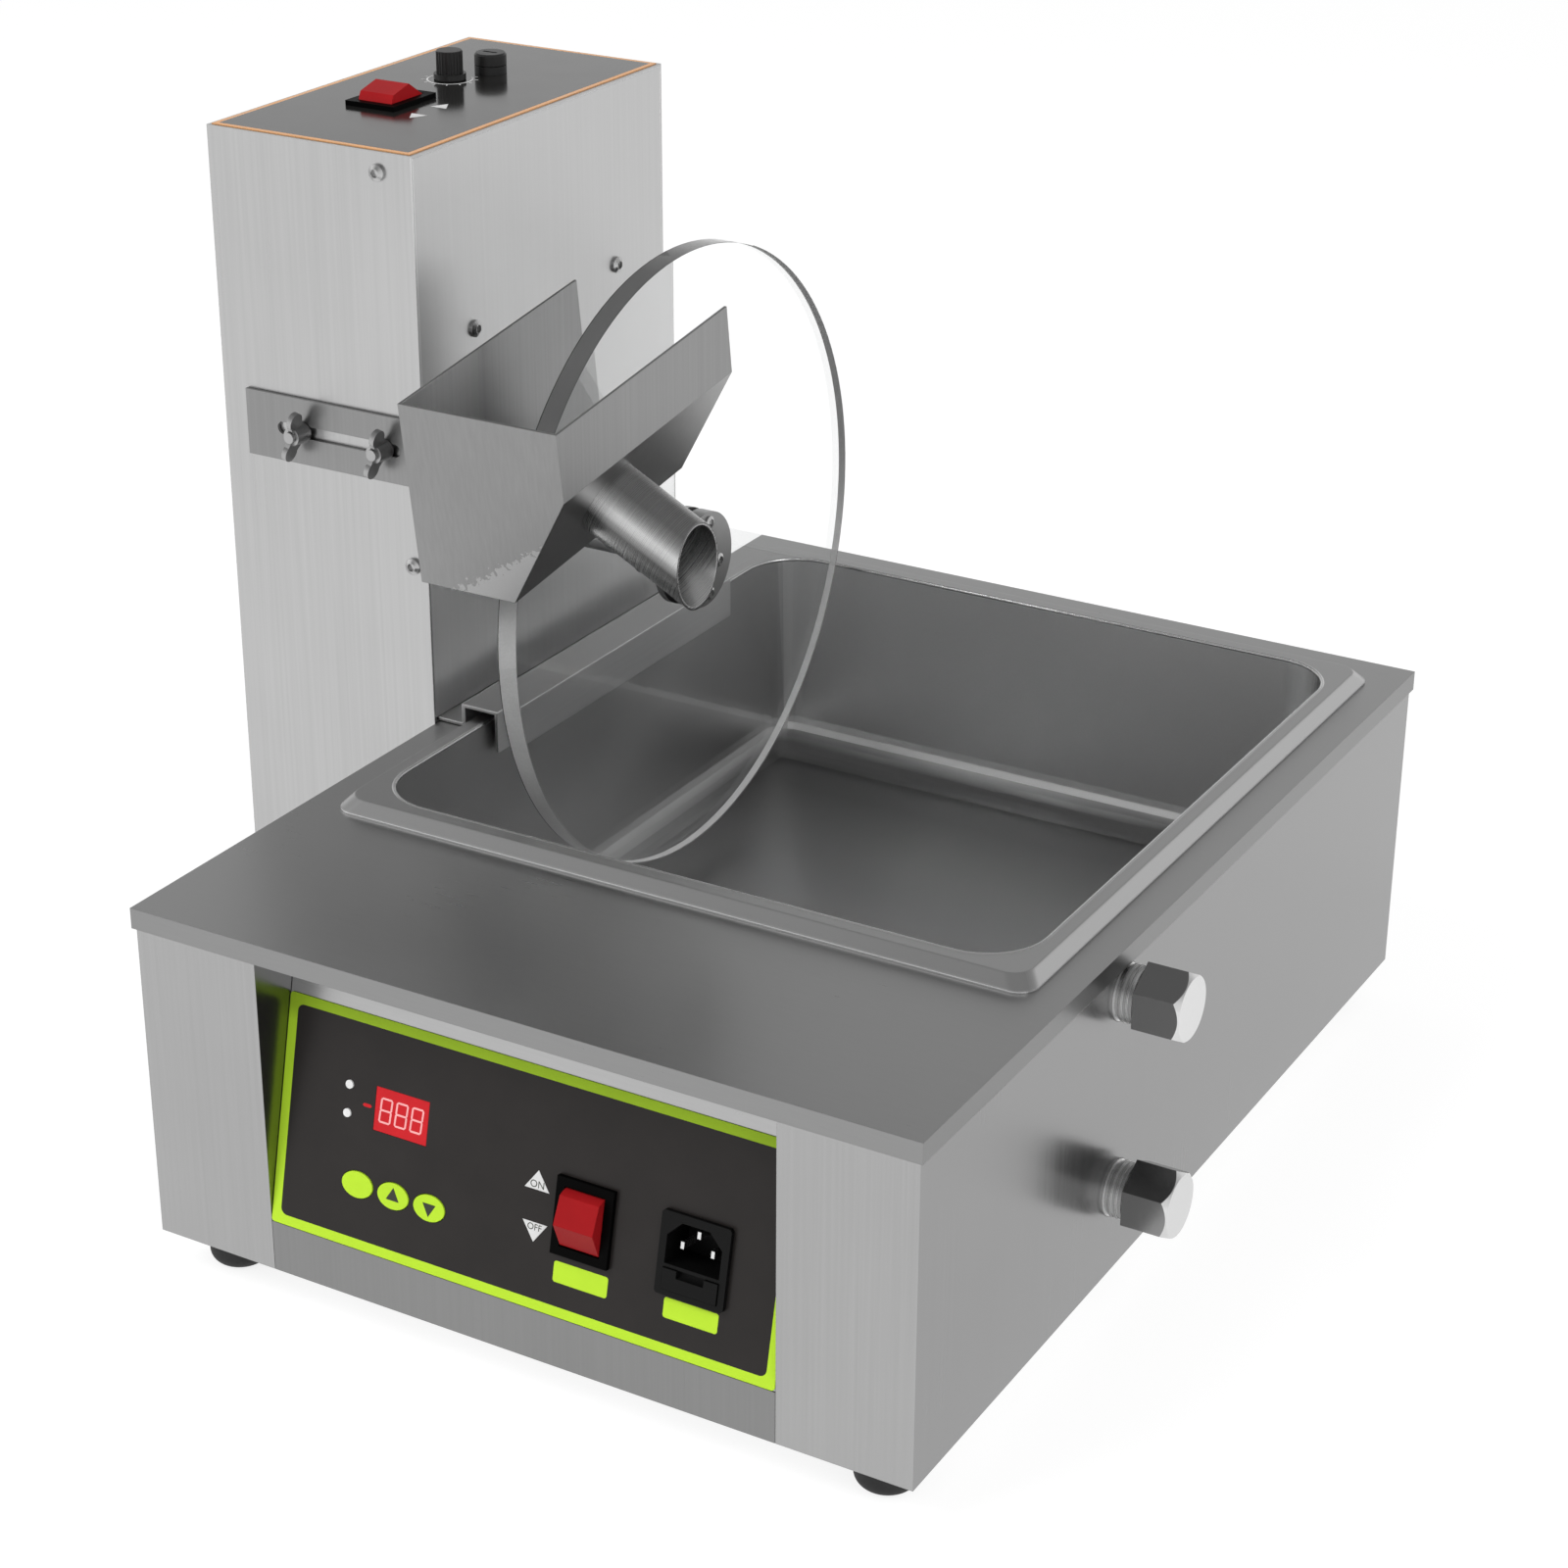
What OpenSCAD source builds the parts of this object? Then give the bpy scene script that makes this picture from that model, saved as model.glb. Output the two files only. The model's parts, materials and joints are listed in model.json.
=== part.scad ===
// Water-bath melting tank with a lift-out pan, and a mixer tower hooked over the pan's left rim.
// +Z is up, the control panel faces -Y, and the origin lies on the table under the machine's middle.

/* [Pan] */
// Width of the pan over its rim, left to right
pan_w = 325; // [305:1:345]
// Length of the pan over its rim, front to back
pan_l = 354; // [330:1:380]
// Depth from the rim's top to the pan's floor
pan_depth = 100; // [90:1:110]
// Sheet thickness of the pan
pan_t = 1; // [0.8:0.1:1.5]
// Height of the rim's top over the cover
rim_h = 6; // [4:0.5:8]
// Width of the rim from its outer edge to the opening
rim_w = 11.5; // [10:0.5:14]
// Corner radius of the opening
pan_r = 27; // [22:1:35]
// Radius between the pan's walls and its floor
pan_fillet = 18; // [12:1:20]
// Lean of the pan's walls in degrees
pan_draft = 3; // [1:0.5:5]

/* [Cabinet] */
// Sheet thickness of the cabinet and the tower
sheet = 1.2; // [0.8:0.1:1.6]
// Water between the pan and the water tank's floor
water_gap = 30; // [20:1:40]
// Gap between the water tank and the cabinet's floor
under_gap = 22.1; // [20:0.1:40]
// Cover left and right of the pan
side_margin = 14.5; // [13:0.5:25]
// Cover in front of the pan
front_margin = 112.7; // [105:0.1:140]
// Cover behind the pan
back_margin = 18.3; // [16:0.1:40]
// Height of the cover's turned-down edge
lip_h = 9; // [6:0.5:12]
// Diameter of the feet
foot_d = 26; // [20:1:30]
// Height of the feet
foot_h = 18; // [12:1:25]
// Distance of the feet's middles from the cabinet's edges
foot_inset = 22.5; // [18:0.5:30]

/* [Control panel] */
// Width of the posts beside the panel
post_w = 58.3; // [50:0.1:65]
// Height of the upright strip under the panel
sill_h = 23.4; // [18:0.1:30]
// Lean of the panel in degrees
panel_slope = 12.8; // [8:0.1:16]
// Height of the printed film up the panel
film_h = 97.4; // [92:0.1:104]
// Width of the film's coloured border
border_w = 4.2; // [3:0.1:8]
// Place of the display along the panel, as a share of half its width
display_share = -0.507; // [-0.54:0.001:-0.47]
// Place of the display up the panel
display_v = 60.3; // [56:0.1:66]
// Width of the display
display_w = 25.1; // [20:0.1:30]
// Height of the display
display_h = 18; // [14:0.1:21]
// Place of the middle button along the panel, as a share of half its width
button_share = -0.509; // [-0.54:0.001:-0.47]
// Place of the buttons up the panel
button_v = 26.8; // [24:0.1:31]
// Gap between the buttons
button_space = 2.6; // [2.1:0.1:4]
// Width of a button
button_w = 14.7; // [12:0.1:15]
// Height of a button
button_h = 10.8; // [9:0.1:13]
// Place of the rocker switch along the panel, as a share of half its width
switch_share = 0.24; // [0.19:0.01:0.29]
// Place of the rocker switch up the panel
switch_v = 41.9; // [36:0.1:50]
// Width of a rocker switch frame
switch_w = 25.7; // [24:0.1:29]
// Length of a rocker switch frame
switch_h = 31.7; // [30:0.1:34]
// Place of the power inlet along the panel, as a share of half its width
inlet_share = 0.661; // [0.6:0.001:0.71]
// Place of the power inlet up the panel
inlet_v = 41; // [36:0.1:50]
// Width of the inlet's frame
inlet_w = 30.2; // [29:0.1:34]
// Height of the inlet's frame
inlet_h = 33.5; // [32:0.1:37]

/* [Drains] */
// Distance of the drains behind the water tank's front
drain_inset = 55; // [46:1:85]
// Outside diameter of the drain pipes
pipe_d = 24; // [20:0.5:25]
// Bore of the drain pipes
pipe_bore = 18; // [12:0.5:18.5]
// Distance from the wall to the drain caps
cap_gap = 9; // [7:0.5:12]
// Length of the drain caps
cap_l = 19.5; // [17:0.5:24]
// Wall of the drain caps at their flats
cap_wall = 1.5; // [1.2:0.1:4]

/* [Tower] */
// Width of the tower
tower_w = 106.5; // [100:0.5:120]
// Depth of the tower
tower_d = 195.4; // [185:0.1:210]
// Height of the tower over its feet
tower_h = 404.3; // [390:0.1:430]
// Place of the tower's middle, front to back
tower_y = 64.1; // [55:0.1:75]
// Gap between the tower and the cover
tower_gap = 1; // [0.5:0.1:3]
// Sheet thickness of the hook bracket
hook_t = 1.5; // [1:0.1:2.5]
// How far the hook reaches under the rim's top
hook_drop = 14.5; // [8:0.1:20]
// Diameter of the speed knob
knob_d = 11.3; // [10:0.1:14]
// Height of the speed knob
knob_h = 12.8; // [10:0.1:16]
// Diameter of the fuse cap
fuse_d = 14.5; // [13:0.1:17]
// Height of the fuse cap over the tower
fuse_h = 9.3; // [8:0.1:12]

/* [Wheel] */
// Diameter of the clear wheel
disc_d = 282; // [270:1:290]
// Thickness of the clear wheel
disc_t = 9.4; // [8:0.1:11]
// Distance from the tower to the wheel
disc_reach = 65.6; // [60:0.1:72]
// Gap between the wheel and the pan's floor
wheel_gap = 13.8; // [8:0.1:20]
// Diameter of the hub flanges
hub_d = 44; // [40:1:50]
// Thickness of the outer hub flange
hub_t = 7; // [5:0.5:9]
// Diameter of the drive shaft
shaft_d = 12; // [10:0.5:14]

/* [Scraper] */
// Width of the trough
trough_w = 76; // [70:1:86]
// Length of the trough
trough_l = 131; // [120:1:150]
// Height of the trough's left wall
trough_h = 81; // [76:1:90]
// Height of the upright part of the right wall
trough_drop = 30; // [26:0.5:33]
// How far the right wall leans in
trough_inset = 29.7; // [26:0.1:32]
// Tilt of the trough in degrees
trough_tilt = 8; // [4:0.5:10]
// How far the trough reaches in front of the wheel
trough_reach = 27.3; // [24:0.1:34]
// Height of the trough's front edge over the shaft
trough_rise = 114.6; // [110:0.1:120]
// Gap between the wheel and the slot's edges
slot_gap = 3; // [2.9:0.1:5]
// Outside diameter of the spout
spout_d = 32.6; // [26:0.1:36]
// How far the spout reaches past the trough
spout_reach = 28.4; // [22:0.1:36]
// Height of the slotted plate
plate_h = 30; // [24:0.5:36]
// Distance between the studs
stud_pitch = 44; // [38:0.5:48]

/* [Hidden] */
$fn = 64;
// Gap between fixed pieces
seam = 0.2;
// Gap between moving pieces
fit = 0.3;
// Radial gap of turning fits
shaft_fit = 0.05;
// How far the cuts run past a face
overrun = 1;

// Small sizes of the pan and the cabinet
rim_slope_w = 4.5;
rim_r = 9;
hole_gap = 2.5;
tank_side = 2;
tank_r = 30;
tank_flange = 8;
heater_t = 3;
heater_inset = 36;
probe_d = 6;
probe_l = 50;
probe_clip = 14;
return_extra = 4;
sill_flange = 14;
vent_w = 4;
vent_l = 44;
vent_pitch = 13;
vent_count = 4;
foot_round_share = 0.22;

// Small sizes of the panel
film_t = 0.4;
film_r = 3;
border_r = 1.5;
bezel_t = 2.2;
board_gap = 14;
board_t = 1.6;
board_w = 70;
board_h = 66;
board_share = -0.529;
board_v = 44;
board_inset = 4;
board_post_d = 6;
tact_w = 6;
tact_h = 5;
lamp_d = 3.5;
lamp_share = -0.724;
lamp_v = 60.8;
lamp_pitch = 11.9;
lamp_rise = 0.5;
button_rise = 0.5;
button_flange = 0.8;
button_flange_t = 1;
button_travel = 0.8;
stem_d = 4;
inlet_r = 1.5;
inlet_edge = 1.6;
inlet_depth = 24;
inlet_wall = 1.5;
plug_chamfer = 6;
plug_edge = 1.85;
plug_gap = 1.7;
plug_depth = 17;
pin_pitch = 13.3;
pin_row_share = -0.063;
pin_earth_share = 0.27;
pin_w = 1.5;
pin_h = 2.9;
pin_l = 14;
drawer_h = 8.4;
drawer_edge = 0.95;
drawer_depth = 20;
drawer_rise = 0.6;
drawer_notch = 3;

// Small sizes of the rocker switches
switch_edge = 2.1;
switch_floor_t = 2.5;
switch_wall = 1.9;
rocker_drop = 1;
rocker_under = 6;
rocker_end = 4.4;
rocker_apex = 9.6;
rocker_tip = 10;
rocker_pin_d = 3;
rocker_pin_l = 1.3;
blade_w = 6.3;
blade_t = 0.8;
blade_l = 8;
blade_pitch = 7;

// Small sizes of the drains
drain_lip_gap = 0.2;
drain_floor_gap = 2.5;
drain_flange_w = 2;
drain_flange_t = 2;
drain_nut_wall = 4;
drain_nut_t = 6;
thread_depth = 0.8;
thread_pitch = 2.2;
thread_land = 1.3;
cap_end_t = 4;
cap_chamfer = 2.5;

// Small sizes of the tower
film_margin = 1.6;
line_w = 2.2;
side_flange = 12;
hook_gap = 0.9;
hook_lift = 3.4;
hook_lip_gap = 3.6;
hook_leg = 15;
tower_switch_u = -9;
tower_switch_v = -25.5;
knob_u = -10.9;
knob_v = 21.9;
knob_skirt_d = 14.5;
knob_skirt_h = 2.6;
spindle_d = 6;
pot_d = 24;
pot_h = 18;
pot_bush_d = 9;
fuse_u = -2.4;
fuse_v = 41.7;
fuse_flange_share = 0.4;
fuse_body_d = 11;
fuse_body_h = 34;
fuse_stem_d = 7;
fuse_stem_h = 14;
fuse_nut_af = 16;
fuse_nut_t = 3;
fuse_slot_w = 1.6;
fuse_slot_h = 1.5;
tower_foot_inset = 18;
screw_d = 7.5;
screw_h = 2.4;
socket_af = 3.4;
socket_h = 1.4;
front_screw_top = 9;
front_screw_in = 17.3;
front_screw_low = 182.1;
front_screw_edge = 7.6;
side_screw_top = 84.3;
side_screw_pitch = 113.4;
motor_boss_d = 12;
motor_boss_l = 10;
motor_plate_t = 3;
motor_plate_edge = 10;
motor_boss_drop = 20;
gearbox_l = 45;
gearbox_w = 64;
gearbox_seat = 36;
motor_d = 40;
motor_room = 65;
motor_cap_d = 30;
motor_cap_h = 6;
bush_d = 20;
bush_l = 7;
bush_flange_d = 28;
bush_flange_t = 3;
gland_d = 14;
gland_af = 18;
gland_h = 7;
gland_bore = 7;
gland_z = 40;
gland_nose = 8;
gland_nose_d = 10;

// Small sizes of the wheel and the scraper
hub_back_t = 3;
hub_boss_d = 24;
hub_boss_l = 18;
hub_seat = 4;
hub_screw_d = 6.4;
hub_screw_h = 1.6;
hub_screw_edge = 5;
hub_socket_share = 0.25;
hub_turn = 82;
hub_socket_turn = -18;
set_screw_d = 5;
trough_t = 1.2;
trough_shift = 7.8;
spout_t = 1.2;
spout_l = 48.5;
spout_s = 25.5;
plate_t = 1.5;
plate_inset = 13.3;
stud_edge = 19;
stud_drop = 50.4;
stud_d = 5;
stud_l = 12;
stud_head_d = 9;
stud_head_h = 3;
slot_left = 10.7;
slot_right = 5.2;
nut_d = 9.6;
nut_neck_d = 8;
nut_h = 8;
wing_t = 2.4;
wing_r = 4;
wing_out = 7.6;
wing_up = 7.5;
wing_foot = 1.2;
wing_turn = 76;

// Cabinet positions
cover_w = pan_w + 2 * side_margin;
cover_d = pan_l + front_margin + back_margin;
base_w = cover_w - 2 * (sheet + seam);
base_d = cover_d - 2 * (sheet + seam);
tank_depth = pan_depth + pan_t + water_gap - rim_h;
cabinet_h = tank_depth + under_gap + 2 * sheet;
base_z = foot_h;
cover_z = foot_h + cabinet_h;
cover_under = cover_z - sheet;
pan_y = (front_margin - back_margin) / 2;
pan_top = cover_z + rim_h;
pan_floor = pan_top - pan_depth;
open_w = pan_w - 2 * rim_w;
open_l = pan_l - 2 * rim_w;
floor_w = open_w - 2 * pan_depth * tan(pan_draft);
floor_l = open_l - 2 * pan_depth * tan(pan_draft);
hole_w = open_w + 2 * (pan_t + hole_gap);
hole_l = open_l + 2 * (pan_t + hole_gap);
tank_in_w = hole_w + 2 * tank_side;
tank_in_l = hole_l + 2 * tank_side;
tank_out_w = tank_in_w + 2 * sheet;
tank_out_l = tank_in_l + 2 * sheet;
tank_z = cover_under - tank_depth;
foot_round = foot_d * foot_round_share;

// Panel positions
panel_w = base_w - 2 * post_w;
panel_y = -base_d / 2;
panel_z = base_z + sill_h;
panel_v = (cover_under - panel_z) / cos(panel_slope) - seam;
return_d = (cover_under - panel_z) * tan(panel_slope) + return_extra;
film_w = panel_w - 2 * fit;
display_u = display_share * panel_w / 2;
lamp_u = lamp_share * panel_w / 2;
button_u = button_share * panel_w / 2;
button_pitch = button_w + button_space;
board_u = board_share * panel_w / 2;
switch_u = switch_share * panel_w / 2;
inlet_u = inlet_share * panel_w / 2;
switch_body_w = switch_w - 2 * switch_edge;
switch_body_h = switch_h - 2 * switch_edge;
rocker_w = switch_body_w - 2 * switch_wall;
rocker_l = switch_body_h - 2 * switch_wall;
rocker_pocket = rocker_drop + rocker_l / 2 + fit;
switch_depth = rocker_pocket + switch_floor_t;
inlet_body_w = inlet_w - 2 * inlet_edge;
inlet_body_h = inlet_h - 2 * inlet_edge;
plug_w = inlet_body_w - 2 * inlet_wall;
drawer_w = plug_w;
drawer_v = -inlet_body_h / 2 + drawer_edge + drawer_h / 2;
plug_low = drawer_v + drawer_h / 2 + plug_gap;
plug_h = inlet_body_h / 2 - plug_edge - plug_low;
plug_v = plug_low + plug_h / 2;
pin_row_v = plug_v + pin_row_share * plug_h;
pin_earth_v = plug_v + pin_earth_share * plug_h;
button_back = sheet + fit;
stem_end = board_gap - tact_h - button_travel - fit;

// Drain positions
drain_zs = [cover_z - lip_h - drain_lip_gap - pipe_d / 2, tank_z + sheet + drain_floor_gap + pipe_d / 2];
drain_y = pan_y - tank_out_l / 2 + drain_inset;
drain_flange_d = pipe_d + 2 * drain_flange_w;
drain_nut_af = pipe_d + 2 * drain_nut_wall;
cap_af = pipe_d + 2 * cap_wall;
drain_end = base_w / 2 + cap_gap + cap_l;
pipe_end = cap_gap + cap_l - cap_end_t - fit;

// Tower positions
tower_x1 = -cover_w / 2 - tower_gap;
tower_x0 = tower_x1 - tower_w;
tower_xm = (tower_x0 + tower_x1) / 2;
tower_y0 = tower_y - tower_d / 2;
tower_y1 = tower_y + tower_d / 2;
tower_top = foot_h + tower_h;
hook_z = cover_z + fit;
hook_top = pan_top + hook_lift;
riser_x = -pan_w / 2 - hook_gap;
hook_lip_x = -pan_w / 2 + rim_w + hook_lip_gap;
side_z = hook_z + hook_t + seam;
fuse_flange_h = fuse_h * fuse_flange_share;

// Wheel and scraper positions
disc_x0 = tower_x1 + disc_reach;
disc_x1 = disc_x0 + disc_t;
shaft_z = pan_floor + wheel_gap + disc_d / 2;
motor_x = tower_x1 - sheet - motor_boss_l - motor_plate_t;
motor_top = tower_top - side_screw_top;
motor_h = tower_top - sheet - motor_room - motor_cap_h - shaft_z - gearbox_w / 2;
gear_x = motor_x - gearbox_l / 2;
hub_screw_r = hub_d / 2 - hub_screw_edge;
hub_socket_r = hub_d * hub_socket_share;
trough_x = (disc_x0 + disc_x1) / 2 + trough_shift;
trough_y = tower_y - disc_d / 2 - trough_reach;
trough_z = shaft_z + trough_rise;
trough_lean = atan(trough_inset / (trough_h - trough_drop));
trough_th = trough_t / cos(trough_lean);
spout_run = (spout_reach + spout_s * sin(trough_lean)) / cos(trough_lean) + spout_d;
plate_y = tower_y0 - fit - plate_t;
plate_x = tower_x0 + plate_inset;
plate_end = trough_x - trough_w / 2;
stud_x = tower_x1 - stud_edge - stud_pitch;
stud_z = trough_z - stud_drop;

// Middle of the machine, left to right
mid_x = (tower_x0 + drain_end) / 2;

// Moves the cabinet's frame to the middle of the whole machine
module placed() {
    translate([-mid_x, 0, 0]) children();
}

// Box between two opposite corners
module box(a, b) {
    translate(a) cube(b - a);
}

module rounded_rect(w, l, r) {
    square([w - 2 * r, l], center = true);
    square([w, l - 2 * r], center = true);
    for (sx = [-1, 1], sy = [-1, 1])
        translate([sx * (w / 2 - r), sy * (l / 2 - r)]) circle(r);
}

module oval(w, h) {
    scale([w / h, 1]) circle(d = h);
}

// Hexagonal prism given by its width across the flats
module hex(af, h) {
    cylinder(d = af / cos(30), h = h, $fn = 6);
}

// Rubber foot standing on the table
module foot() {
    rotate_extrude() {
        square([foot_d / 2 - foot_round, foot_h]);
        translate([0, foot_round]) square([foot_d / 2, foot_h - foot_round]);
        translate([foot_d / 2 - foot_round, foot_round]) circle(foot_round);
    }
}

// Button-head screw with a hexagonal socket, standing on z = 0
module screw_head(d, h) {
    difference() {
        union() {
            cylinder(d = d, h = h / 2);
            translate([0, 0, h / 2]) cylinder(d1 = d, d2 = d / 2, h = h / 2);
        }
        translate([0, 0, h - socket_h]) hex(socket_af, socket_h + overrun);
    }
}

// Panel frame: x along the panel, y up its slope, z out of it
module on_panel() {
    translate([0, panel_y, panel_z]) rotate([90 - panel_slope, 0, 0]) children();
}

// Drain frame: z out of the right wall
module on_drain(z) {
    translate([base_w / 2, drain_y, z]) rotate([0, 90, 0]) children();
}

// Tower frame: x and y from the tower's middle, z up from its top
module on_tower() {
    translate([tower_xm, tower_y, tower_top]) children();
}

// Shaft frame: z along the shaft to the right, x to the back
module on_shaft(x) {
    translate([x, tower_y, shaft_z]) rotate([90, 0, 90]) children();
}

// Trough frame: y along the trough from its front, z up from its front edge
module in_trough() {
    translate([trough_x, trough_y, trough_z]) rotate([trough_tilt, 0, 0]) children();
}

// Spout frame: z out of the trough's leaning wall
module on_spout() {
    translate([trough_w / 2 - spout_s * sin(trough_lean), spout_l,
        -trough_drop - spout_s * cos(trough_lean)])
        rotate([0, 90 + trough_lean, 0]) children();
}

// Outline of the tub, grown by a sheet thickness for its outside
module pan_tub(grow, top) {
    hull() {
        translate([0, pan_y, top])
            linear_extrude(pan_t)
                rounded_rect(open_w + 2 * grow, open_l + 2 * grow, pan_r + grow);
        for (sx = [-1, 1], sy = [-1, 1])
            translate([sx * (floor_w / 2 - pan_fillet), pan_y + sy * (floor_l / 2 - pan_fillet),
                pan_floor + pan_fillet])
                sphere(pan_fillet + grow, $fn = 32);
    }
}

// Block of the rim, narrowed by a sheet thickness for its hollow
module pan_rim(inset, low, high) {
    hull() {
        translate([0, pan_y, low])
            linear_extrude(pan_t)
                rounded_rect(pan_w - 2 * inset, pan_l - 2 * inset, rim_r);
        translate([0, pan_y, high - pan_t])
            linear_extrude(pan_t)
                rounded_rect(pan_w - 2 * (inset + rim_slope_w), pan_l - 2 * (inset + rim_slope_w), rim_r);
    }
}

module pan() {
    color("gainsboro") placed() difference() {
        union() {
            difference() {
                pan_rim(0, cover_z, pan_top);
                pan_rim(pan_t, cover_z - pan_t, pan_top - pan_t);
            }
            pan_tub(pan_t, pan_top - pan_t);
        }
        pan_tub(0, pan_top);
    }
}

module drain_holes(x, l) {
    for (z = drain_zs)
        translate([x, drain_y, z]) rotate([0, 90, 0]) cylinder(d = pipe_d + 2 * seam, h = l);
}

module base_shell() {
    color("lightgray") placed() {
        difference() {
            box([-base_w / 2, -base_d / 2, base_z], [base_w / 2, base_d / 2, cover_under]);
            box([-base_w / 2 + sheet, -base_d / 2 + sheet, base_z - overrun],
                [base_w / 2 - sheet, base_d / 2 - sheet, cover_under + overrun]);
            box([-panel_w / 2, -base_d / 2 - overrun, base_z - overrun],
                [panel_w / 2, -base_d / 2 + sheet + overrun, cover_under + overrun]);
            drain_holes(base_w / 2 - sheet - overrun, sheet + 2 * overrun);
        }
        for (s = [0, 1])
            mirror([s, 0, 0])
                box([panel_w / 2, -base_d / 2, base_z + sheet + seam],
                    [panel_w / 2 + sheet, -base_d / 2 + return_d, cover_under]);
    }
}

module base_plate() {
    plate_hw = base_w / 2 - sheet - seam;
    plate_hd = base_d / 2 - sheet - seam;
    color("silver") placed() difference() {
        box([-plate_hw, -plate_hd, base_z], [plate_hw, plate_hd, base_z + sheet]);
        for (s = [-1, 1], i = [0 : vent_count - 1])
            translate([s * plate_hw / 2, (i - (vent_count - 1) / 2) * vent_pitch, base_z - overrun])
                linear_extrude(sheet + 2 * overrun) square([vent_l, vent_w], center = true);
    }
}

module front_sill() {
    sill_hw = panel_w / 2 - seam;
    color("lightgray") placed() {
        box([-sill_hw, -base_d / 2, base_z],
            [sill_hw, -base_d / 2 + sheet, panel_z - sheet * sin(panel_slope) - seam]);
        box([-sill_hw, -base_d / 2, base_z + sheet],
            [sill_hw, -base_d / 2 + sill_flange, base_z + 2 * sheet]);
    }
}

// Everything that passes through the panel and its film
module panel_cuts() {
    translate([0, 0, -sheet - overrun])
        linear_extrude(sheet + film_t + 2 * overrun) {
            translate([switch_u, switch_v])
                square([switch_body_w + 2 * seam, switch_body_h + 2 * seam], center = true);
            translate([inlet_u, inlet_v])
                square([inlet_body_w + 2 * seam, inlet_body_h + 2 * seam], center = true);
            translate([display_u, display_v])
                square([display_w + 2 * seam, display_h + 2 * seam], center = true);
            for (s = [-1, 1])
                translate([lamp_u, lamp_v + s * lamp_pitch / 2]) circle(d = lamp_d + 2 * seam);
            for (i = [-1, 0, 1])
                translate([button_u + i * button_pitch, button_v])
                    oval(button_w + 2 * fit, button_h + 2 * fit);
        }
}

module panel_plate() {
    color("lightgray") placed() on_panel() difference() {
        box([-panel_w / 2 + seam, 0, -sheet], [panel_w / 2 - seam, panel_v, 0]);
        panel_cuts();
    }
}

// Outline of the printed film, narrowed for the area inside its border
module film_outline(inset, r) {
    translate([0, film_h / 2]) rounded_rect(film_w - 2 * inset, film_h - 2 * inset, r);
}

module panel_film() {
    color("dimgray") placed() on_panel() difference() {
        linear_extrude(film_t) film_outline(border_w, film_r);
        panel_cuts();
    }
}

module panel_border() {
    color("yellowgreen") placed() on_panel() difference() {
        linear_extrude(film_t) film_outline(0, border_r);
        translate([0, 0, -overrun]) linear_extrude(film_t + 2 * overrun) film_outline(border_w, film_r);
    }
}

module top_cover() {
    color("silver") placed() difference() {
        box([-cover_w / 2, -cover_d / 2, cover_z - lip_h], [cover_w / 2, cover_d / 2, cover_z]);
        box([-cover_w / 2 + sheet, -cover_d / 2 + sheet, cover_z - lip_h - overrun],
            [cover_w / 2 - sheet, cover_d / 2 - sheet, cover_under]);
        translate([0, pan_y, cover_z - lip_h])
            linear_extrude(lip_h + overrun) rounded_rect(hole_w, hole_l, pan_r);
    }
}

module water_tank() {
    color("silver") placed() difference() {
        union() {
            translate([0, pan_y, tank_z])
                linear_extrude(tank_depth) rounded_rect(tank_out_w, tank_out_l, tank_r + sheet);
            translate([0, pan_y, cover_under - sheet])
                linear_extrude(sheet)
                    rounded_rect(tank_out_w + 2 * tank_flange, tank_out_l + 2 * tank_flange, tank_r);
        }
        translate([0, pan_y, tank_z + sheet])
            linear_extrude(tank_depth) rounded_rect(tank_in_w, tank_in_l, tank_r);
        drain_holes(tank_in_w / 2 - overrun, sheet + 2 * overrun);
    }
}

module heater_pad() {
    color("orangered") placed()
        translate([0, pan_y, tank_z - heater_t])
            linear_extrude(heater_t)
                rounded_rect(tank_in_w - 2 * heater_inset, tank_in_l - 2 * heater_inset, rim_r);
}

module temp_probe() {
    probe_y = pan_y - tank_out_l / 2;
    probe_z = tank_z + tank_depth / 2;
    color("gray") placed() {
        translate([-probe_l / 2, probe_y - probe_d / 2, probe_z])
            rotate([0, 90, 0]) cylinder(d = probe_d, h = probe_l);
        box([-probe_clip / 2, probe_y - probe_d, probe_z - probe_d],
            [probe_clip / 2, probe_y, probe_z + probe_d]);
    }
}

module control_board() {
    color("seagreen") placed() on_panel() {
        translate([board_u, board_v, -board_gap - board_t])
            linear_extrude(board_t) square([board_w, board_h], center = true);
        for (i = [-1, 0, 1])
            translate([button_u + i * button_pitch, button_v, -board_gap])
                linear_extrude(tact_h) square(tact_w, center = true);
    }
}

module board_posts() {
    color("goldenrod") placed() on_panel()
        for (su = [-1, 1], sv = [-1, 1])
            translate([board_u + su * (board_w / 2 - board_inset),
                board_v + sv * (board_h / 2 - board_inset), -board_gap])
                cylinder(d = board_post_d, h = board_gap - sheet);
}

module display_module() {
    color("red") placed() on_panel()
        translate([display_u, display_v, -board_gap])
            linear_extrude(board_gap + film_t) square([display_w, display_h], center = true);
}

module indicator_lamps() {
    color("white") placed() on_panel()
        for (s = [-1, 1])
            translate([lamp_u, lamp_v + s * lamp_pitch / 2, -board_gap])
                cylinder(d = lamp_d, h = board_gap + film_t + lamp_rise);
}

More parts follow.
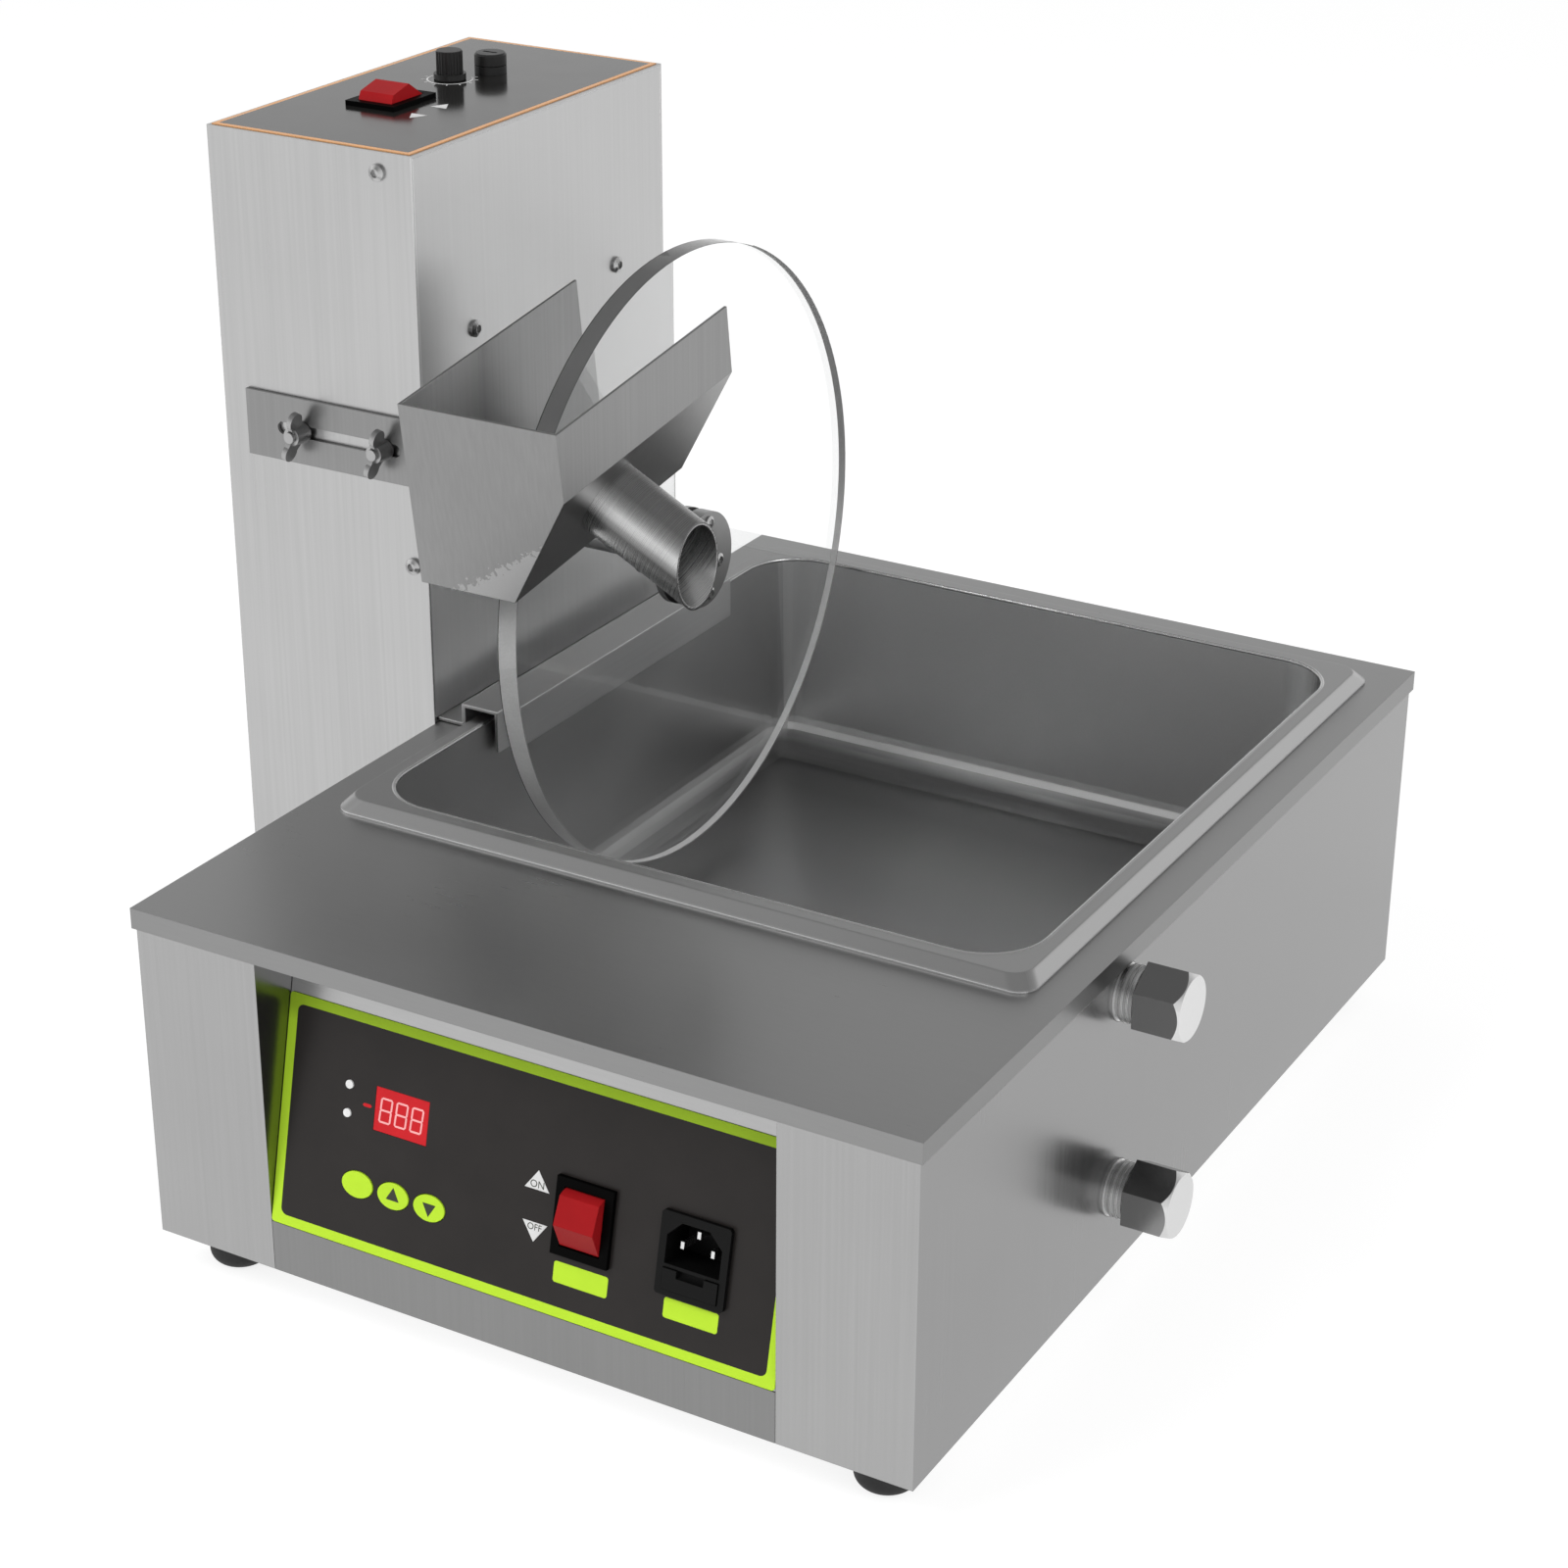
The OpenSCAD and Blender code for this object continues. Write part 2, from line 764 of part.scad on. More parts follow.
// Frame of a rocker switch with its bezel standing on z = 0
module switch_frame() {
    difference() {
        union() {
            linear_extrude(bezel_t) square([switch_w, switch_h], center = true);
            translate([0, 0, -switch_depth])
                linear_extrude(switch_depth + bezel_t)
                    square([switch_body_w, switch_body_h], center = true);
            for (i = [-1, 0, 1])
                translate([0, i * blade_pitch, -switch_depth - blade_l])
                    linear_extrude(blade_l + switch_floor_t / 2) square([blade_w, blade_t], center = true);
        }
        translate([0, 0, -rocker_pocket])
            linear_extrude(rocker_pocket + bezel_t + overrun)
                square([rocker_w + 2 * fit, rocker_l + 2 * fit], center = true);
        translate([0, 0, -rocker_drop])
            rotate([0, 90, 0])
                cylinder(d = rocker_pin_d + 2 * shaft_fit, h = rocker_w + 2 * (rocker_pin_l + fit),
                    center = true);
    }
}

// Ridged rocker on its pin, tipped to one side
module rocker(tip) {
    translate([0, 0, -rocker_drop]) rotate([tip, 0, 0]) {
        rotate([90, 0, 90])
            linear_extrude(rocker_w, center = true)
                intersection() {
                    circle(rocker_l / 2);
                    polygon([[-rocker_l / 2, -rocker_under], [rocker_l / 2, -rocker_under],
                        [rocker_l / 2, rocker_end], [0, rocker_apex], [-rocker_l / 2, rocker_end]]);
                }
        rotate([0, 90, 0])
            cylinder(d = rocker_pin_d, h = rocker_w + 2 * rocker_pin_l, center = true);
    }
}

module panel_switch_frame() {
    color("black") placed() on_panel() translate([switch_u, switch_v, film_t]) switch_frame();
}

module panel_rocker() {
    color("firebrick") placed() on_panel() translate([switch_u, switch_v, film_t]) rocker(rocker_tip);
}

// Outline of the plug's recess, with its two upper corners cut off
module plug_outline() {
    polygon([[-plug_w / 2, -plug_h / 2], [plug_w / 2, -plug_h / 2],
        [plug_w / 2, plug_h / 2 - plug_chamfer], [plug_w / 2 - plug_chamfer, plug_h / 2],
        [-plug_w / 2 + plug_chamfer, plug_h / 2], [-plug_w / 2, plug_h / 2 - plug_chamfer]]);
}

module power_inlet() {
    color("black") placed() on_panel() translate([inlet_u, inlet_v, film_t]) difference() {
        union() {
            linear_extrude(bezel_t) rounded_rect(inlet_w, inlet_h, inlet_r);
            translate([0, 0, -inlet_depth])
                linear_extrude(inlet_depth + bezel_t)
                    square([inlet_body_w, inlet_body_h], center = true);
        }
        translate([0, plug_v, bezel_t - plug_depth])
            linear_extrude(plug_depth + overrun) plug_outline();
        translate([0, drawer_v, bezel_t - drawer_depth - fit])
            linear_extrude(drawer_depth + fit + overrun)
                square([drawer_w + 2 * fit, drawer_h + 2 * fit], center = true);
    }
}

module inlet_pins() {
    color("silver") placed() on_panel()
        for (at = [[-pin_pitch / 2, pin_row_v], [0, pin_earth_v], [pin_pitch / 2, pin_row_v]])
            translate([inlet_u + at[0], inlet_v + at[1], film_t + bezel_t - plug_depth])
                linear_extrude(pin_l) square([pin_w, pin_h], center = true);
}

module fuse_drawer() {
    color("black") placed() on_panel()
        translate([inlet_u, inlet_v + drawer_v, film_t + bezel_t - drawer_depth])
            difference() {
                linear_extrude(drawer_depth + drawer_rise) square([drawer_w, drawer_h], center = true);
                translate([0, drawer_h / 2, drawer_depth + drawer_rise])
                    rotate([0, 90, 0])
                        cylinder(r = drawer_notch, h = drawer_w / 2, center = true);
            }
}

// Push button with a flange behind the panel and a stem to its switch
module button(i) {
    on_panel() translate([button_u + i * button_pitch, button_v, 0]) {
        translate([0, 0, -button_back])
            linear_extrude(button_back + film_t + button_rise) oval(button_w, button_h);
        translate([0, 0, -button_back - button_flange_t])
            linear_extrude(button_flange_t)
                oval(button_w + 2 * button_flange, button_h + 2 * button_flange);
        translate([0, 0, -stem_end]) cylinder(d = stem_d, h = stem_end - button_back);
    }
}

module set_button() {
    color("greenyellow") placed() button(-1);
}

module up_button() {
    color("greenyellow") placed() button(0);
}

module down_button() {
    color("greenyellow") placed() button(1);
}

module drain_nipple() {
    tank_face = (tank_in_w - base_w) / 2;
    difference() {
        union() {
            translate([0, 0, tank_face - drain_flange_t])
                cylinder(d = drain_flange_d, h = drain_flange_t);
            translate([0, 0, tank_face - drain_flange_t])
                cylinder(d = pipe_d, h = drain_flange_t - tank_face + seam);
            cylinder(d = pipe_d - 2 * thread_depth, h = pipe_end);
            for (i = [1 : floor((pipe_end - thread_land) / thread_pitch)])
                translate([0, 0, i * thread_pitch]) cylinder(d = pipe_d, h = thread_land);
        }
        translate([0, 0, tank_face - drain_flange_t - overrun])
            cylinder(d = pipe_bore, h = pipe_end - tank_face + drain_flange_t + 2 * overrun);
    }
}

module drain_nipples() {
    color("silver") placed() for (z = drain_zs) on_drain(z) drain_nipple();
}

module drain_nuts() {
    color("goldenrod") placed()
        for (z = drain_zs)
            on_drain(z)
                translate([0, 0, (tank_out_w - base_w) / 2])
                    difference() {
                        rotate([0, 0, 30]) hex(drain_nut_af, drain_nut_t);
                        translate([0, 0, -overrun])
                            cylinder(d = pipe_d + 2 * shaft_fit, h = drain_nut_t + 2 * overrun);
                    }
}

module drain_cap(z) {
    cap_r = cap_af / 2 / cos(30);
    on_drain(z) translate([0, 0, cap_gap]) difference() {
        intersection() {
            hex(cap_af, cap_l);
            union() {
                cylinder(r = cap_r, h = cap_l - cap_chamfer);
                translate([0, 0, cap_l - cap_chamfer])
                    cylinder(r1 = cap_r, r2 = cap_r - cap_chamfer, h = cap_chamfer);
            }
        }
        translate([0, 0, -overrun])
            cylinder(d = pipe_d + 2 * shaft_fit, h = cap_l - cap_end_t + overrun);
    }
}

module drain_cap_upper() {
    color("gainsboro") placed() drain_cap(drain_zs[0]);
}

module drain_cap_lower() {
    color("gainsboro") placed() drain_cap(drain_zs[1]);
}

module base_feet() {
    color("black") placed()
        for (sx = [-1, 1], sy = [-1, 1])
            translate([sx * (base_w / 2 - foot_inset), sy * (base_d / 2 - foot_inset), 0]) foot();
}

// Everything that passes through the tower's top and its film
module tower_cuts() {
    on_tower() translate([0, 0, -sheet - overrun])
        linear_extrude(sheet + film_t + 2 * overrun) {
            translate([tower_switch_u, tower_switch_v])
                square([switch_body_w + 2 * seam, switch_body_h + 2 * seam], center = true);
            translate([knob_u, knob_v]) circle(d = pot_bush_d + 2 * seam);
            translate([fuse_u, fuse_v]) circle(d = fuse_body_d + 2 * seam);
        }
}

// Places of the two studs on the tower's front, z to the front
module on_studs(y) {
    for (i = [0, 1])
        translate([stud_x + i * stud_pitch, y, stud_z]) rotate([90, 0, 0]) children();
}

module tower_shell() {
    color("lightgray") placed() difference() {
        box([tower_x0, tower_y0, base_z], [tower_x1, tower_y1, tower_top]);
        box([tower_x0 + sheet, tower_y0 + sheet, base_z - overrun],
            [tower_x1 - sheet, tower_y1 - sheet, tower_top - sheet]);
        box([tower_x1 - sheet - overrun, tower_y0 + sheet, hook_z - seam],
            [tower_x1 + overrun, tower_y1 - sheet, tower_top - sheet]);
        tower_cuts();
        on_studs(tower_y0 + sheet + overrun)
            cylinder(d = stud_d + 2 * seam, h = sheet + 2 * overrun);
        translate([tower_xm, tower_y1 - sheet - overrun, base_z + gland_z])
            rotate([-90, 0, 0]) cylinder(d = gland_d + 2 * seam, h = sheet + 2 * overrun);
    }
}

module tower_side_plate() {
    color("silver") placed() difference() {
        box([tower_x1 - side_flange, tower_y0 + sheet, side_z],
            [tower_x1, tower_y1 - sheet, tower_top - sheet]);
        box([tower_x1 - side_flange - overrun, tower_y0 + 2 * sheet, side_z - overrun],
            [tower_x1 - sheet, tower_y1 - 2 * sheet, tower_top - sheet + overrun]);
        on_shaft(tower_x1 - sheet - overrun) cylinder(d = bush_d + 2 * seam, h = sheet + 2 * overrun);
    }
}

module tower_base_plate() {
    inset = sheet + seam;
    color("silver") placed()
        box([tower_x0 + inset, tower_y0 + inset, base_z],
            [tower_x1 - inset, tower_y1 - inset, base_z + sheet]);
}

module tower_feet() {
    color("black") placed()
        for (sx = [-1, 1], sy = [-1, 1])
            translate([tower_xm + sx * (tower_w / 2 - tower_foot_inset),
                tower_y + sy * (tower_d / 2 - tower_foot_inset), 0])
                foot();
}

module hook_bracket() {
    leg_x = tower_x1 - sheet - hook_t;
    y0 = tower_y0 + 2 * sheet + seam;
    y1 = tower_y1 - 2 * sheet - seam;
    color("gainsboro") placed() {
        box([leg_x, y0, hook_z], [leg_x + hook_t, y1, hook_z + hook_leg]);
        box([leg_x, y0, hook_z], [riser_x, y1, hook_z + hook_t]);
        box([riser_x - hook_t, y0, hook_z], [riser_x, y1, hook_top + hook_t]);
        box([riser_x - hook_t, y0, hook_top], [hook_lip_x + hook_t, y1, hook_top + hook_t]);
        box([hook_lip_x, y0, pan_top - hook_drop], [hook_lip_x + hook_t, y1, hook_top + hook_t]);
    }
}

module tower_film() {
    inset = film_margin + line_w;
    color("dimgray") placed() difference() {
        box([tower_x0 + inset, tower_y0 + inset, tower_top],
            [tower_x1 - inset, tower_y1 - inset, tower_top + film_t]);
        tower_cuts();
    }
}

module tower_border() {
    inset = film_margin + line_w;
    color("sandybrown") placed() difference() {
        box([tower_x0 + film_margin, tower_y0 + film_margin, tower_top],
            [tower_x1 - film_margin, tower_y1 - film_margin, tower_top + film_t]);
        box([tower_x0 + inset, tower_y0 + inset, tower_top - overrun],
            [tower_x1 - inset, tower_y1 - inset, tower_top + film_t + overrun]);
    }
}

module tower_switch_frame() {
    color("black") placed() on_tower()
        translate([tower_switch_u, tower_switch_v, film_t]) switch_frame();
}

module tower_rocker() {
    color("firebrick") placed() on_tower()
        translate([tower_switch_u, tower_switch_v, film_t]) rocker(-rocker_tip);
}

module speed_pot() {
    color("gray") placed() on_tower() translate([knob_u, knob_v, -sheet - pot_h]) difference() {
        union() {
            cylinder(d = pot_d, h = pot_h);
            cylinder(d = pot_bush_d, h = pot_h + sheet + film_t);
        }
        translate([0, 0, pot_h / 2]) cylinder(d = spindle_d + 2 * shaft_fit, h = pot_h + 2 * sheet);
    }
}

module speed_knob() {
    color("black") placed() on_tower() translate([knob_u, knob_v, film_t + fit]) {
        cylinder(d = knob_skirt_d, h = knob_skirt_h);
        cylinder(d = knob_d, h = knob_h);
        translate([0, 0, -film_t - sheet - pot_h / 2])
            cylinder(d = spindle_d, h = pot_h / 2 + sheet + film_t);
    }
}

module fuse_holder() {
    color("black") placed() on_tower() translate([fuse_u, fuse_v, 0]) difference() {
        union() {
            translate([0, 0, film_t]) cylinder(d = fuse_d, h = fuse_flange_h);
            translate([0, 0, -fuse_body_h]) cylinder(d = fuse_body_d, h = fuse_body_h + film_t);
            translate([0, 0, -sheet - fuse_nut_t]) hex(fuse_nut_af, fuse_nut_t);
        }
        translate([0, 0, film_t + fuse_flange_h - fuse_stem_h - fit])
            cylinder(d = fuse_stem_d + 2 * shaft_fit, h = fuse_stem_h + fit + overrun);
    }
}

module fuse_cap() {
    cap_z = film_t + fuse_flange_h + fit;
    cap_h = fuse_h - fuse_flange_h - fit;
    color("black") placed() on_tower() translate([fuse_u, fuse_v, cap_z]) difference() {
        union() {
            cylinder(d = fuse_d, h = cap_h - fuse_slot_h / 2);
            translate([0, 0, cap_h - fuse_slot_h / 2])
                cylinder(d1 = fuse_d, d2 = fuse_d - fuse_slot_h, h = fuse_slot_h / 2);
            translate([0, 0, -fuse_stem_h]) cylinder(d = fuse_stem_d, h = fuse_stem_h);
        }
        translate([0, 0, cap_h - fuse_slot_h])
            linear_extrude(fuse_slot_h + overrun) square([fuse_d / 2, fuse_slot_w], center = true);
    }
}

module motor_plate() {
    boss_x = motor_x + motor_plate_t;
    color("silver") placed() difference() {
        union() {
            box([motor_x, tower_y - side_screw_pitch / 2 - motor_plate_edge,
                    shaft_z - motor_boss_drop - motor_plate_edge],
                [boss_x, tower_y + side_screw_pitch / 2 + motor_plate_edge, motor_top + motor_plate_edge]);
            for (s = [-1, 1], z = [shaft_z - motor_boss_drop, motor_top])
                translate([boss_x, tower_y + s * side_screw_pitch / 2, z])
                    rotate([0, 90, 0]) cylinder(d = motor_boss_d, h = motor_boss_l);
        }
        on_shaft(motor_x - overrun) cylinder(d = bush_d, h = motor_plate_t + 2 * overrun);
    }
}

module gearbox() {
    color("dimgray") placed() difference() {
        box([motor_x - gearbox_l, tower_y - gearbox_w / 2, shaft_z - gearbox_w / 2],
            [motor_x, tower_y + gearbox_w / 2, shaft_z + gearbox_w / 2]);
        on_shaft(motor_x - gearbox_seat)
            cylinder(d = shaft_d + 2 * shaft_fit, h = gearbox_seat + overrun);
    }
}

module gear_motor() {
    color("gray") placed() translate([gear_x, tower_y, shaft_z + gearbox_w / 2]) {
        cylinder(d = motor_d, h = motor_h);
        cylinder(d = motor_cap_d, h = motor_h + motor_cap_h);
    }
}

module shaft_bush() {
    color("goldenrod") placed() difference() {
        union() {
            on_shaft(tower_x1 - bush_l) cylinder(d = bush_d, h = bush_l);
            on_shaft(tower_x1) cylinder(d = bush_flange_d, h = bush_flange_t);
        }
        on_shaft(tower_x1 - bush_l - overrun)
            cylinder(d = shaft_d + 2 * shaft_fit, h = bush_l + bush_flange_t + 2 * overrun);
    }
}

module tower_gland() {
    color("black") placed()
        translate([tower_xm, tower_y1, base_z + gland_z]) rotate([-90, 0, 0]) difference() {
            union() {
                hex(gland_af, gland_h);
                translate([0, 0, -sheet - gland_h]) cylinder(d = gland_d, h = sheet + gland_h);
                translate([0, 0, gland_h]) cylinder(d1 = gland_d, d2 = gland_nose_d, h = gland_nose);
            }
            translate([0, 0, -sheet - gland_h - overrun])
                cylinder(d = gland_bore, h = sheet + 2 * gland_h + gland_nose + 2 * overrun);
        }
}

module tower_screws() {
    color("silver") placed() {
        for (at = [[front_screw_in, front_screw_top], [front_screw_edge, front_screw_low]])
            translate([tower_x1 - at[0], tower_y0, tower_top - at[1]])
                rotate([90, 0, 0]) screw_head(screw_d, screw_h);
        for (s = [-1, 1])
            translate([tower_x1, tower_y + s * side_screw_pitch / 2, motor_top])
                rotate([0, 90, 0]) screw_head(screw_d, screw_h);
    }
}

module scraper_studs() {
    color("silver") placed() {
        on_studs(tower_y0 + sheet) cylinder(d = stud_d, h = sheet + stud_l);
        on_studs(tower_y0 + sheet + stud_head_h) hex(stud_head_d, stud_head_h);
    }
}

module drive_shaft() {
    shaft_x = motor_x - gearbox_seat + fit;
    color("silver") placed() on_shaft(shaft_x) cylinder(d = shaft_d, h = disc_x1 + hub_seat - shaft_x);
}

module wheel_disc() {
    color("lightcyan", 0.4) placed() difference() {
        on_shaft(disc_x0) cylinder(d = disc_d, h = disc_t, $fn = 180);
        on_shaft(disc_x0 - overrun) cylinder(d = shaft_d + 2 * shaft_fit, h = disc_t + 2 * overrun);
    }
}

module hub_inner() {
    color("silver") placed() difference() {
        union() {
            on_shaft(disc_x0 - hub_back_t) cylinder(d = hub_d, h = hub_back_t);
            on_shaft(disc_x0 - hub_back_t - hub_boss_l) cylinder(d = hub_boss_d, h = hub_boss_l);
        }
        on_shaft(disc_x0 - hub_back_t - hub_boss_l - overrun)
            cylinder(d = shaft_d + 2 * shaft_fit, h = hub_boss_l + hub_back_t + 2 * overrun);
        translate([disc_x0 - hub_back_t - hub_boss_l / 2, tower_y, shaft_z])
            cylinder(d = set_screw_d, h = hub_boss_d);
    }
}

module hub_outer() {
    color("silver") placed() difference() {
        on_shaft(disc_x1) cylinder(d = hub_d, h = hub_t);
        on_shaft(disc_x1 - overrun) cylinder(d = shaft_d + 2 * shaft_fit, h = hub_seat + overrun);
    }
}

module hub_screws() {
    color("gray") placed() on_shaft(disc_x1 + hub_t) {
        for (turn = [hub_turn, -hub_turn])
            rotate([0, 0, turn]) translate([hub_screw_r, 0, 0]) screw_head(hub_screw_d, hub_screw_h);
        rotate([0, 0, hub_socket_turn])
            for (s = [-1, 1])
                translate([s * hub_socket_r, 0, 0]) screw_head(hub_screw_d, hub_screw_h);
    }
}

// Section of the trough seen from its front, narrowed by the sheet for its hollow
module trough_outline() {
    polygon([[-trough_w / 2, 0], [-trough_w / 2, -trough_h], [trough_w / 2 - trough_inset, -trough_h],
        [trough_w / 2, -trough_drop], [trough_w / 2, 0]]);
}

module trough_hollow() {
    bend_z = -trough_drop + (trough_th - trough_t) / tan(trough_lean);
    floor_x = trough_w / 2 - trough_inset + trough_t * tan(trough_lean) - trough_th;
    polygon([[-trough_w / 2 + trough_t, overrun], [-trough_w / 2 + trough_t, -trough_h + trough_t],
        [floor_x, -trough_h + trough_t], [trough_w / 2 - trough_t, bend_z],
        [trough_w / 2 - trough_t, overrun]]);
}

module scraper_trough() {
    color("gainsboro") placed() difference() {
        in_trough() difference() {
            translate([0, trough_l, 0]) rotate([90, 0, 0]) linear_extrude(trough_l) trough_outline();
            translate([0, trough_l + overrun, 0])
                rotate([90, 0, 0]) linear_extrude(trough_l + overrun - trough_t) trough_hollow();
            on_spout() translate([0, 0, -trough_t - overrun])
                cylinder(d = spout_d - 2 * spout_t, h = trough_t + 2 * overrun);
        }
        on_shaft(disc_x0 - slot_gap)
            cylinder(d = disc_d + 2 * slot_gap, h = disc_t + 2 * slot_gap, $fn = 180);
    }
}

module scraper_spout() {
    color("gainsboro") placed() in_trough() difference() {
        on_spout() cylinder(d = spout_d, h = spout_run);
        on_spout() translate([0, 0, -overrun])
            cylinder(d = spout_d - 2 * spout_t, h = spout_run + 2 * overrun);
        translate([trough_w / 2 + spout_reach, spout_l - spout_d, -trough_h - 2 * spout_run])
            cube([spout_run, 2 * spout_d, trough_h + 2 * spout_run]);
    }
}

module slotted_plate() {
    slot_h = stud_d + 2 * fit;
    slot_cut = plate_t + 2 * overrun;
    slot_x0 = stud_x - slot_left;
    slot_x1 = stud_x + stud_pitch + slot_right;
    color("gainsboro") placed() difference() {
        box([plate_x, plate_y, stud_z - plate_h / 2], [plate_end, plate_y + plate_t, stud_z + plate_h / 2]);
        box([slot_x0, plate_y - overrun, stud_z - slot_h / 2],
            [slot_x1, plate_y + plate_t + overrun, stud_z + slot_h / 2]);
        for (x = [slot_x0, slot_x1])
            translate([x, plate_y + plate_t + overrun, stud_z])
                rotate([90, 0, 0]) cylinder(d = slot_h, h = slot_cut);
    }
}

// Wing nut on z = 0 with its wings along x
module wing_nut() {
    difference() {
        union() {
            cylinder(d1 = nut_d, d2 = nut_neck_d, h = nut_h);
            for (turn = [0, 180])
                rotate([90, 0, turn])
                    linear_extrude(wing_t, center = true) {
                        polygon([[0, wing_foot], [nut_d / 2, wing_foot],
                            [wing_out + wing_r, wing_up], [wing_out, wing_up + wing_r], [0, nut_h]]);
                        translate([wing_out, wing_up]) circle(wing_r);
                    }
        }
        translate([0, 0, -overrun]) cylinder(d = stud_d + 2 * shaft_fit, h = nut_h + wing_up + 2 * overrun);
    }
}

module wing_nut_left() {
    color("silver") placed()
        translate([stud_x, plate_y - fit, stud_z]) rotate([90, 0, 0]) rotate([0, 0, wing_turn]) wing_nut();
}

module wing_nut_right() {
    color("silver") placed()
        translate([stud_x + stud_pitch, plate_y - fit, stud_z])
            rotate([90, 0, 0]) rotate([0, 0, wing_turn]) wing_nut();
}

base_shell();
base_plate();
front_sill();
panel_plate();
panel_film();
panel_border();
top_cover();
water_tank();
heater_pad();
temp_probe();
control_board();
board_posts();
display_module();
indicator_lamps();
panel_switch_frame();
power_inlet();
inlet_pins();
drain_nipples();
drain_nuts();
base_feet();
pan();
set_button();
up_button();
down_button();
panel_rocker();
fuse_drawer();
drain_cap_upper();
drain_cap_lower();
tower_shell();
tower_side_plate();
tower_base_plate();
tower_feet();
hook_bracket();
tower_film();
tower_border();
tower_switch_frame();
speed_pot();
fuse_holder();
motor_plate();
gearbox();
gear_motor();
shaft_bush();
tower_gland();
tower_screws();
scraper_studs();
tower_rocker();
speed_knob();
fuse_cap();
drive_shaft();
wheel_disc();
hub_inner();
hub_outer();
hub_screws();
scraper_trough();
scraper_spout();
slotted_plate();
wing_nut_left();
wing_nut_right();
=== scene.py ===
"""Looks of the melting tank: materials for every solid, printed marks, and a plain studio."""
import json
import math

import bmesh
import bpy
from mathutils import Matrix, Vector


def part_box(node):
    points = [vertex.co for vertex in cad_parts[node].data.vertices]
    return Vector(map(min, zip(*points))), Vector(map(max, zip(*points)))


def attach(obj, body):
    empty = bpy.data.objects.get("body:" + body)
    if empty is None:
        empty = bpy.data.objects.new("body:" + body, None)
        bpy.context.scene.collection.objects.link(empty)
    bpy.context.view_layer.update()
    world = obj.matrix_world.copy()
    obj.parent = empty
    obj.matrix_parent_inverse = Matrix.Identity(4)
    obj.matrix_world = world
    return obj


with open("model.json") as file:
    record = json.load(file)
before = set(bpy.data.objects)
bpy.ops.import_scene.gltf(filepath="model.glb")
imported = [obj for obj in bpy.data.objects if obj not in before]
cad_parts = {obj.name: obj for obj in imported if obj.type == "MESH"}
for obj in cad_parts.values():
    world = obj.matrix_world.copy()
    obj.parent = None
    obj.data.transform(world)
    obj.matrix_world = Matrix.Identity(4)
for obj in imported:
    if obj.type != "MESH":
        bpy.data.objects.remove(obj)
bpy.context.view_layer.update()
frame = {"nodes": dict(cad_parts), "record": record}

MM = 0.001


# Places of the solids, in millimetres

def corners(node):
    """Lowest and highest corner of a solid."""
    low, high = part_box(node)
    return low / MM, high / MM


def middle(node):
    low, high = corners(node)
    return (low + high) / 2


def seat(carrier, node, across=0.0, up=0.0):
    """Place in the frame that carries a solid, some steps across and up from the solid's middle."""
    spot = carrier.inverted() @ (middle(node) * MM) / MM
    return spot.x + across, spot.y + up


# Frames that carry the printed marks, and how thick the films and the print on them are
PANEL_SLOPE = math.radians(12.8)
PANEL_FOOT = Vector((middle("panel_border").x, corners("panel_plate")[0].y, corners("panel_border")[0].z))
PANEL = Matrix.Translation(PANEL_FOOT * MM) @ Matrix.Rotation(math.pi / 2 - PANEL_SLOPE, 4, "X")
TOWER_FOOT = Vector((*middle("tower_film").xy, corners("tower_film")[0].z))
TOWER_TOP = Matrix.Translation(TOWER_FOOT * MM)
FILM, PRINT = 0.4, 0.06

PAN_LOW, PAN_HIGH = corners("pan")
TROUGH_LOW = corners("scraper_trough")[0]
WHEEL_AXIS = middle("drive_shaft")


def grey(value):
    return (value, value, value, 1.0)


def scaled(colour, factor):
    return tuple(part * factor for part in colour[:3]) + (1.0,)


# Node helpers

def new_tree(name):
    material = bpy.data.materials.new(name)
    material.use_nodes = True
    tree = material.node_tree
    return material, tree, tree.nodes["Principled BSDF"]


def feed(tree, socket, value):
    """Links an output to a socket, or sets a plain value on it."""
    if isinstance(value, bpy.types.NodeSocket):
        tree.links.new(value, socket)
    else:
        socket.default_value = value


def feed_all(tree, shader, values):
    for name, value in values.items():
        feed(tree, shader.inputs[name], value)


def object_place(tree):
    return tree.nodes.new("ShaderNodeTexCoord").outputs["Object"]


def geometry(tree, output):
    return tree.nodes.new("ShaderNodeNewGeometry").outputs[output]


def stretched(tree, vector, scale):
    node = tree.nodes.new("ShaderNodeMapping")
    feed(tree, node.inputs["Vector"], vector)
    node.inputs["Scale"].default_value = scale
    return node.outputs["Vector"]


def noise(tree, place, scale, detail=3.0, line=False):
    """Noise through space, or along one coordinate where `line` is true."""
    node = tree.nodes.new("ShaderNodeTexNoise")
    node.noise_dimensions = "1D" if line else "3D"
    feed(tree, node.inputs["W" if line else "Vector"], place)
    node.inputs["Scale"].default_value = scale
    node.inputs["Detail"].default_value = detail
    return node.outputs["Fac"]


def calc(tree, operation, *values):
    node = tree.nodes.new("ShaderNodeMath")
    node.operation = operation
    for socket, value in zip(node.inputs, values):
        feed(tree, socket, value)
    return node.outputs["Value"]


def vector_calc(tree, operation, *values, output="Vector"):
    node = tree.nodes.new("ShaderNodeVectorMath")
    node.operation = operation
    for socket, value in zip(node.inputs, values):
        feed(tree, socket, value)
    return node.outputs[output]


def along_axis(tree, vector, axis):
    return vector_calc(tree, "DOT_PRODUCT", vector, axis, output="Value")


def tinted(tree, colour, factor):
    node = tree.nodes.new("ShaderNodeVectorMath")
    node.operation = "SCALE"
    feed(tree, node.inputs[0], colour)
    feed(tree, node.inputs["Scale"], factor)
    return node.outputs["Vector"]


